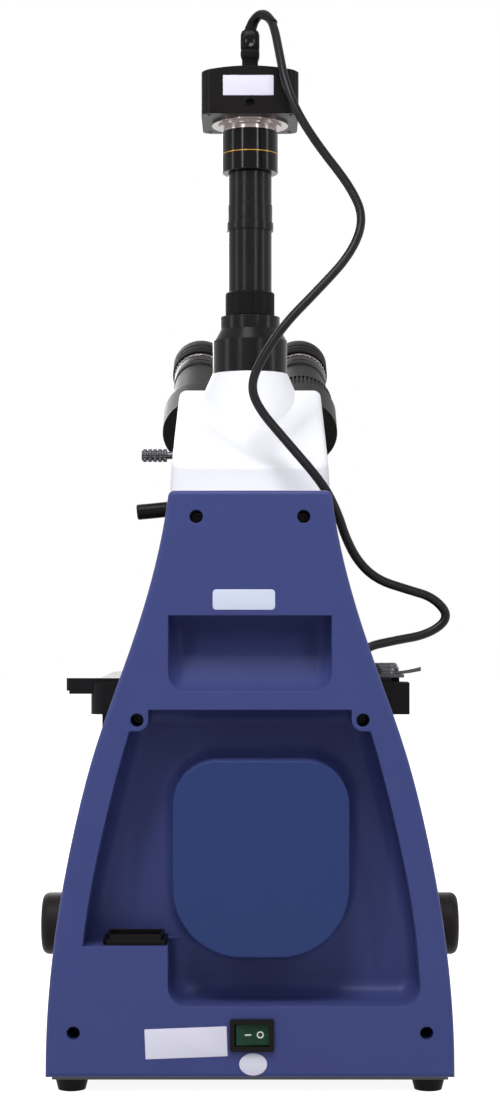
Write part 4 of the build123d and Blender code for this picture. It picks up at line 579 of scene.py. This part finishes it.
# %% Eyepieces
pupil_half, tube_y, tube_z = 28.5, -30.0, 327.0
along_tube = (0, -cos(radians(30)), sin(radians(30)))
for side, arm in ((1, "right_arm"), (-1, "left_arm")):
    hand = "right" if side > 0 else "left"
    tube_line = place_at(side * pupil_half, tube_y, tube_z, along_tube)
    ocular = turned_piece(f"{hand}_ocular", [
        (9.5, 45), (11.5, 45), (11.5, 61), (13.5, 61), (14.7, 61.6), (15, 62.4),
        (15, 66.4), (14.6, 66.7), (14.6, 67.3), (15, 67.6), (15, 72.4), (14.2, 72.6),
        (14.2, 76.2), (13.8, 76.4), (13.8, 85), (12.2, 85), (11.6, 83.6), (9.5, 83)],
        tube_line, arm, "black_anodised")
    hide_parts(f"{hand}_eyepiece")
    turned_piece(f"{hand}_fluted_band", [
        (14.1, 73.4), (15.2, 73.4), (15.5, 73.7, True), (15.5, 74.5, True),
        (15.2, 74.8), (14.1, 74.8)], tube_line, arm, "warm_steel", 40, 1.0)
    turned_piece(f"{hand}_eyecup", [
        (13.8, 76.2), (15.9, 76.2), (16.2, 77), (16.2, 80), (15.7, 80.5),
        (15.7, 81.1), (16.2, 81.6), (16.2, 84.2), (15.7, 84.7), (15.7, 85.3),
        (16.2, 85.8), (16.2, 91.3), (15.9, 92.5), (15.2, 93), (14.5, 92.9),
        (13.8, 92.2)], tube_line, arm, "soft_rubber")
    turned_piece(f"{hand}_eye_lens", [
        (0, 82.4), (9.6, 82.4), (9.6, 83.2), (7.2, 83.9), (3.6, 84.4), (0, 84.6)],
        tube_line, arm, "coated_glass", sides=64)
ribbed = turned_piece("ribbed_diopter", [
    (13.05, 26), (17.3, 26), (17.8, 26.5), (17.8, 27.2), (17.8, 27.3, True),
    (17.8, 37.7, True), (17.8, 37.8), (17.8, 38.5), (17.3, 39), (13.05, 39)],
    place_at(-pupil_half, tube_y, tube_z, along_tube), "diopter", "black_mould",
    ribs=48, cut=0.6)
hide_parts("diopter_ring")
print("two eyepieces and a ribbed ring")

# %% [markdown]
# The selector rod ends in a chrome handle with grooves turned round it and
# flutes cut along it, so that it doesn't slip between two fingers.

# %% The selector rod
rod_y, rod_z = 10.0, 312.0
handle = [(0, 30), (1.95, 30), (1.95, 44), (3.0, 44)]
for band in range(5):
    start = 44.2 + 2.65 * band
    handle += [(3.45, start), (3.5, start + 0.3, True), (3.5, start + 1.5, True),
               (3.45, start + 1.8), (2.75, start + 2.0), (2.75, start + 2.5)]
handle += [(3.0, 57.3), (2.4, 57.5), (0, 57.5)]
selector = turned_piece("selector_handle", handle, place_at(0, rod_y, rod_z, (1, 0, 0)),
                        "rod", "gunmetal", ribs=16, cut=0.45)
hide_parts("beam_rod")
print("a handle with five bands")

# %% [markdown]
# Knobs are gripped, so their rims are ribbed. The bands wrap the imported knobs
# a tenth of a millimetre proud and turn with them.

# %% Ribs on the knobs and rings
for side in (1, -1):
    hand = "right" if side > 0 else "left"
    knob_line = place_at(0, 60.0, 71.0, (side, 0, 0))
    grip_band(f"{hand}_coarse_ribs", 24.0, 69.4, 87.2, knob_line, "coarse",
              "knob_rubber", 60, 0.7)
    turned_piece(f"{hand}_knob_cap", [
        (0, 104.6), (7.0, 104.6), (6.9, 104.95), (6.2, 105.0), (0, 105.0)],
        knob_line, "fine", "gunmetal")
drive_line = place_at(62.4, 44.0, 0)
grip_band("y_knob_ribs", 14.6, 152.6, 166.4, drive_line, "y_knob", "black_mould",
          44, 0.5)
grip_band("x_knob_ribs", 10.5, 131.8, 148.2, drive_line, "x_knob", "black_mould",
          34, 0.5)
grip_band("condenser_knob_ribs", 9.0, 25.0, 35.0,
          place_at(0, 37.3, 140.0, (-1, 0, 0)), "condenser_focus", "black_mould",
          30, 0.4)
grip_band("collar_knurl", 31.0, 47.5, 57.5, place_at(0, 0, 0), "stand",
          "black_mould", 90, 0.45)
print("seven ribbed bands")

# %% [markdown]
# An objective is a stepped chrome barrel with a knurled shoulder to unscrew it
# by, and a painted band whose colour tells its strength: red for the weakest,
# then yellow, blue and white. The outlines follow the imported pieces.

# %% Objectives
ring_radius, tilt = 21.0, radians(12.0)
turret = place_at(0, 20.54, 248.07, (0, -sin(tilt), cos(tilt)))
objectives = [                   # name, length, barrel, waist, tip and band
    ("low", 35.0, 11.5, 9.0, 5.5, "yellow_band"),
    ("high", 44.3, 11.5, 9.0, 3.6, "blue_band"),
    ("oil", 44.8, 11.5, 9.0, 3.2, "print_white"),
    ("scan", 26.0, 11.0, 9.0, 8.0, "red_band"),
]
for index, (kind, length, barrel, waist, tip, band) in enumerate(objectives):
    seat = (turret @ Matrix.Rotation(pi / 2 * index, 4, "Z")
            @ Matrix.Translation(mm(0, -ring_radius, 0))
            @ Matrix.Rotation(-tilt, 4, "X"))
    step_z, waist_z, cone_z = -0.42 * length, -0.46 * length, -0.8 * length
    skin = turned_piece(f"{kind}_barrel", [
        (0, 0.9 - length), (0.4 * tip, 0.9 - length), (0.5 * tip, -length + 0.1),
        (tip - 0.3, -length), (tip, 0.3 - length), (tip, 1.0 - length),
        (waist, cone_z), (waist, waist_z), (barrel - 0.3, step_z - 0.3),
        (barrel, step_z), (barrel, step_z + 0.6), (barrel, step_z + 0.7, True),
        (barrel, step_z + 3.4, True), (barrel, step_z + 3.5), (barrel, -0.4),
        (barrel - 0.4, -0.1), (10.1, -0.1), (10.1, 3.6), (0, 3.6)],
        seat, "turret", "bright_chrome", ribs=50, cut=0.45)
    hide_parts(f"{kind}_objective")
    middle = (waist_z + cone_z) / 2
    turned_piece(f"{kind}_band", [
        (waist - 0.3, middle - 1), (waist + 0.06, middle - 1),
        (waist + 0.06, middle + 1), (waist - 0.3, middle + 1)], seat, "turret", band)
print("four objectives")

# %% [markdown]
# The camera is held by a bright screwed flange. Four screws close its
# underside, and a metal rim stands round the socket of the plug.

# %% Details of the camera
camera_foot, camera_top = 490.4, 515.6
for index, (x, y) in enumerate(((21.5, 20.5), (-21.5, 20.5), (21.5, -20.5),
                                (-21.5, -20.5))):
    turned_piece(f"camera_screw_{index}", [
        (0, -0.25), (0.7, -0.25), (0.75, 0.0), (0.8, 0.35), (1.5, 0.2), (1.6, -0.2),
        (0, -0.3)], place_at(x, y, camera_foot, (0, 0, -1)), "camera", "dark_screw",
        sides=32)
moulded("socket_rim", [
    (camera_top - 0.4, 9.6, 6.8, 0.8), (camera_top + 0.8, 9.6, 6.8, 0.8),
    (camera_top + 1.0, 9.2, 6.4, 0.7)], place_at(0, 0, 0), "camera",
    "satin_aluminium")
plug_body = moulded("plug_mould", [
    (515.9, 8.4, 5.8, 0.7), (516.4, 8.6, 6.0, 0.9), (519.5, 8.6, 6.0, 0.9),
    (519.8, 8.0, 5.4, 0.8), (520.5, 8.0, 5.4, 0.8), (520.8, 8.6, 6.0, 0.9),
    (523.9, 8.6, 6.0, 0.9), (525.0, 9.6, 7.3, 1.4), (526.2, 10.2, 8.0, 2.0),
    (528.6, 10.2, 8.0, 2.0), (529.0, 9.6, 7.4, 1.8), (529.9, 9.6, 7.4, 1.8),
    (530.3, 10.2, 8.0, 2.0), (537.4, 10.2, 8.0, 2.4), (539.4, 9.2, 7.2, 2.6),
    (540.3, 7.2, 5.8, 2.4)], place_at(0, 0, 0), "camera", "black_mould")
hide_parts("lead_plug")
turned_piece("plug_pad", [(0, 0), (3.1, 0), (3.4, 0.1), (3.6, 0.35), (2.9, 0.4),
                          (2.4, 0.15), (0, 0.1)],
             on_back(0, 3.9, 533.8), "camera", "black_gloss", sides=48)
print("camera and plug details")

# %% [markdown]
# Where a lead meets a plug, a soft sleeve keeps it from bending sharply. It
# follows the first stretch of the lead and tapers down to the lead's own
# thickness. On the far end the lead enters a flat moulded grip with a metal
# shell, and a plastic tongue inside the shell.

# %% Strain reliefs and the far plug
relief = cable("plug_relief", relief_route, lead_radius, [1.45, 1.2, 1.08, 1.01])
relief.data.materials.append(finishes["black_mould"])
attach(relief, "camera")

plug_line = place_at(-34.5, -213.3, 4.0, (1, 0, 0))
far_grip = moulded("far_grip", [
    (0, 9.4, 5.2, 2.0), (0.8, 11.4, 6.4, 2.4), (3.0, 13.2, 7.6, 2.6),
    (6.0, 13.2, 7.6, 2.6), (6.5, 12.6, 7.0, 2.4), (7.5, 12.6, 7.0, 2.4),
    (8.0, 13.6, 7.8, 2.6), (14.0, 15.0, 8.0, 2.4), (24.6, 15.0, 8.0, 2.0),
    (25.6, 14.4, 7.4, 1.8), (26.0, 13.6, 6.6, 1.6)], plug_line, "stand",
    "black_mould")
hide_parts("far_plug")
moulded("far_shell", [
    (25.8, 12.0, 4.5, 0.4), (44.5, 12.0, 4.5, 0.4), (44.8, 11.8, 4.3, 0.35),
    (44.7, 11.3, 3.8, 0.2), (28.0, 11.3, 3.8, 0.2)], plug_line, "stand",
    "bright_chrome")
moulded("far_tongue", [
    (28.0, 11.0, 1.7, 0.2), (43.6, 11.0, 1.7, 0.2), (44.0, 10.6, 1.3, 0.2)],
    plug_line @ Matrix.Translation(mm(0, -0.9, 0)), "stand", "print_white")
moulded("far_relief", [
    (-12.0, 4.9, 4.9, 2.4), (-8.0, 5.4, 5.2, 2.4), (-4.0, 6.6, 5.4, 2.6),
    (0.4, 8.6, 5.8, 2.6)], plug_line, "stand", "black_mould")
print("both ends of the lead")

# %% [markdown]
# The floor is a plain sheet that looks white to the camera. A studio gets there
# by lighting its backdrop, but that light would also wash over the object, so
# the sheet and the room are told apart by the kind of ray that reaches them.
# The floor stays a little darker where the object keeps the light off it. The
# room's own light falls from above, so the hollows of the cover stay deep.

# %% Floor and backdrop
def seen_directly(nodes, links):
    """One where a camera, mirror or glass ray arrives, and nothing elsewhere."""
    path = nodes.new("ShaderNodeLightPath")
    both = nodes.new("ShaderNodeMath")
    both.operation = "MAXIMUM"
    links.new(path.outputs["Is Camera Ray"], both.inputs[0])
    links.new(path.outputs["Is Glossy Ray"], both.inputs[1])
    every = nodes.new("ShaderNodeMath")
    every.operation = "MAXIMUM"
    links.new(both.outputs["Value"], every.inputs[0])
    links.new(path.outputs["Is Transmission Ray"], every.inputs[1])
    return every.outputs["Value"]


paper = bpy.data.materials.new("white_paper")
paper.use_nodes = True
nodes, links = paper.node_tree.nodes, paper.node_tree.links
shader = nodes["Principled BSDF"]
shader.inputs["Base Color"].default_value = (0.50, 0.50, 0.51, 1)
shader.inputs["Roughness"].default_value = 0.7
shader.inputs["Specular IOR Level"].default_value = 0.1
shader.inputs["Emission Color"].default_value = (1, 1, 1, 1)
level = nodes.new("ShaderNodeMath")
level.operation = "MULTIPLY"
level.inputs[1].default_value = 0.90
links.new(seen_directly(nodes, links), level.inputs[0])
links.new(level.outputs["Value"], shader.inputs["Emission Strength"])
floor_mesh = bpy.data.meshes.new("bench_top")
floor_mesh.from_pydata([(-6, -6, 0), (6, -6, 0), (6, 6, 0), (-6, 6, 0)], [],
                       [(0, 1, 2, 3)])
floor = bpy.data.objects.new("bench_top", floor_mesh)
bpy.context.scene.collection.objects.link(floor)
floor_mesh.materials.append(paper)

world = bpy.data.worlds.new("soft_room")
bpy.context.scene.world = world
world.use_nodes = True
room, room_links = world.node_tree.nodes, world.node_tree.links
room["Background"].inputs["Color"].default_value = (1.0, 1.0, 1.0, 1)
direction = room.new("ShaderNodeTexCoord")
rise = room.new("ShaderNodeSeparateXYZ")
room_links.new(direction.outputs["Generated"], rise.inputs["Vector"])
overhead = room.new("ShaderNodeMapRange")      # the room is lit from its ceiling
overhead.inputs["From Min"].default_value = -0.05
overhead.inputs["To Min"].default_value = 0.04
overhead.inputs["To Max"].default_value = 0.55
room_links.new(rise.outputs["Z"], overhead.inputs["Value"])
strength = room.new("ShaderNodeMapRange")
strength.inputs["To Max"].default_value = 1.0
room_links.new(overhead.outputs["Result"], strength.inputs["To Min"])
room_links.new(seen_directly(room, room_links), strength.inputs["Value"])
room_links.new(strength.outputs["Result"], room["Background"].inputs["Strength"])

# %% [markdown]
# One large soft box high behind the viewer gives the shapes their light: tops
# bright, hollows dark. Two strips beside the viewer draw upright lines of light
# down every tube, two narrow boxes at the sides pick out the rounded edges, and
# a weak one lights the side that faces away.

# %% Lamps
def lamp(name, place, aim, wide, high, watts):
    data = bpy.data.lights.new(name, "AREA")
    data.shape = "RECTANGLE"
    data.size, data.size_y = wide, high
    data.energy = watts
    item = bpy.data.objects.new(name, data)
    item.location = place
    toward = Vector(aim) - Vector(place)
    item.rotation_euler = toward.to_track_quat("-Z", "Y").to_euler()
    bpy.context.scene.collection.objects.link(item)


lamp("key_soft_box", (0.2, 0.98, 1.55), (0, 0.1, 0.25), 0.7, 0.7, 21)
lamp("left_strip", (0.75, 1.25, 0.86), (0, 0, 0.4), 0.09, 0.62, 3.6)
lamp("right_strip", (-0.75, 1.25, 0.86), (0, 0, 0.4), 0.09, 0.62, 3.6)
lamp("left_soft_box", (1.35, 0.35, 0.5), (0, 0, 0.28), 0.2, 1.2, 4)
lamp("right_soft_box", (-1.35, 0.35, 0.5), (0, 0, 0.28), 0.2, 1.2, 4)
lamp("front_soft_box", (0.3, -1.6, 1.0), (0, 0, 0.25), 1.0, 1.0, 16)
print("six lamps")

# %% [markdown]
# The lead takes its sheath finish and rides with the stand. The imported cord
# and coil are hidden, since the curve above takes their place.

camera_lead.data.materials.append(finishes["cable_sheath"])
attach(camera_lead, "stand")
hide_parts("lead_cord", "cord_coil")
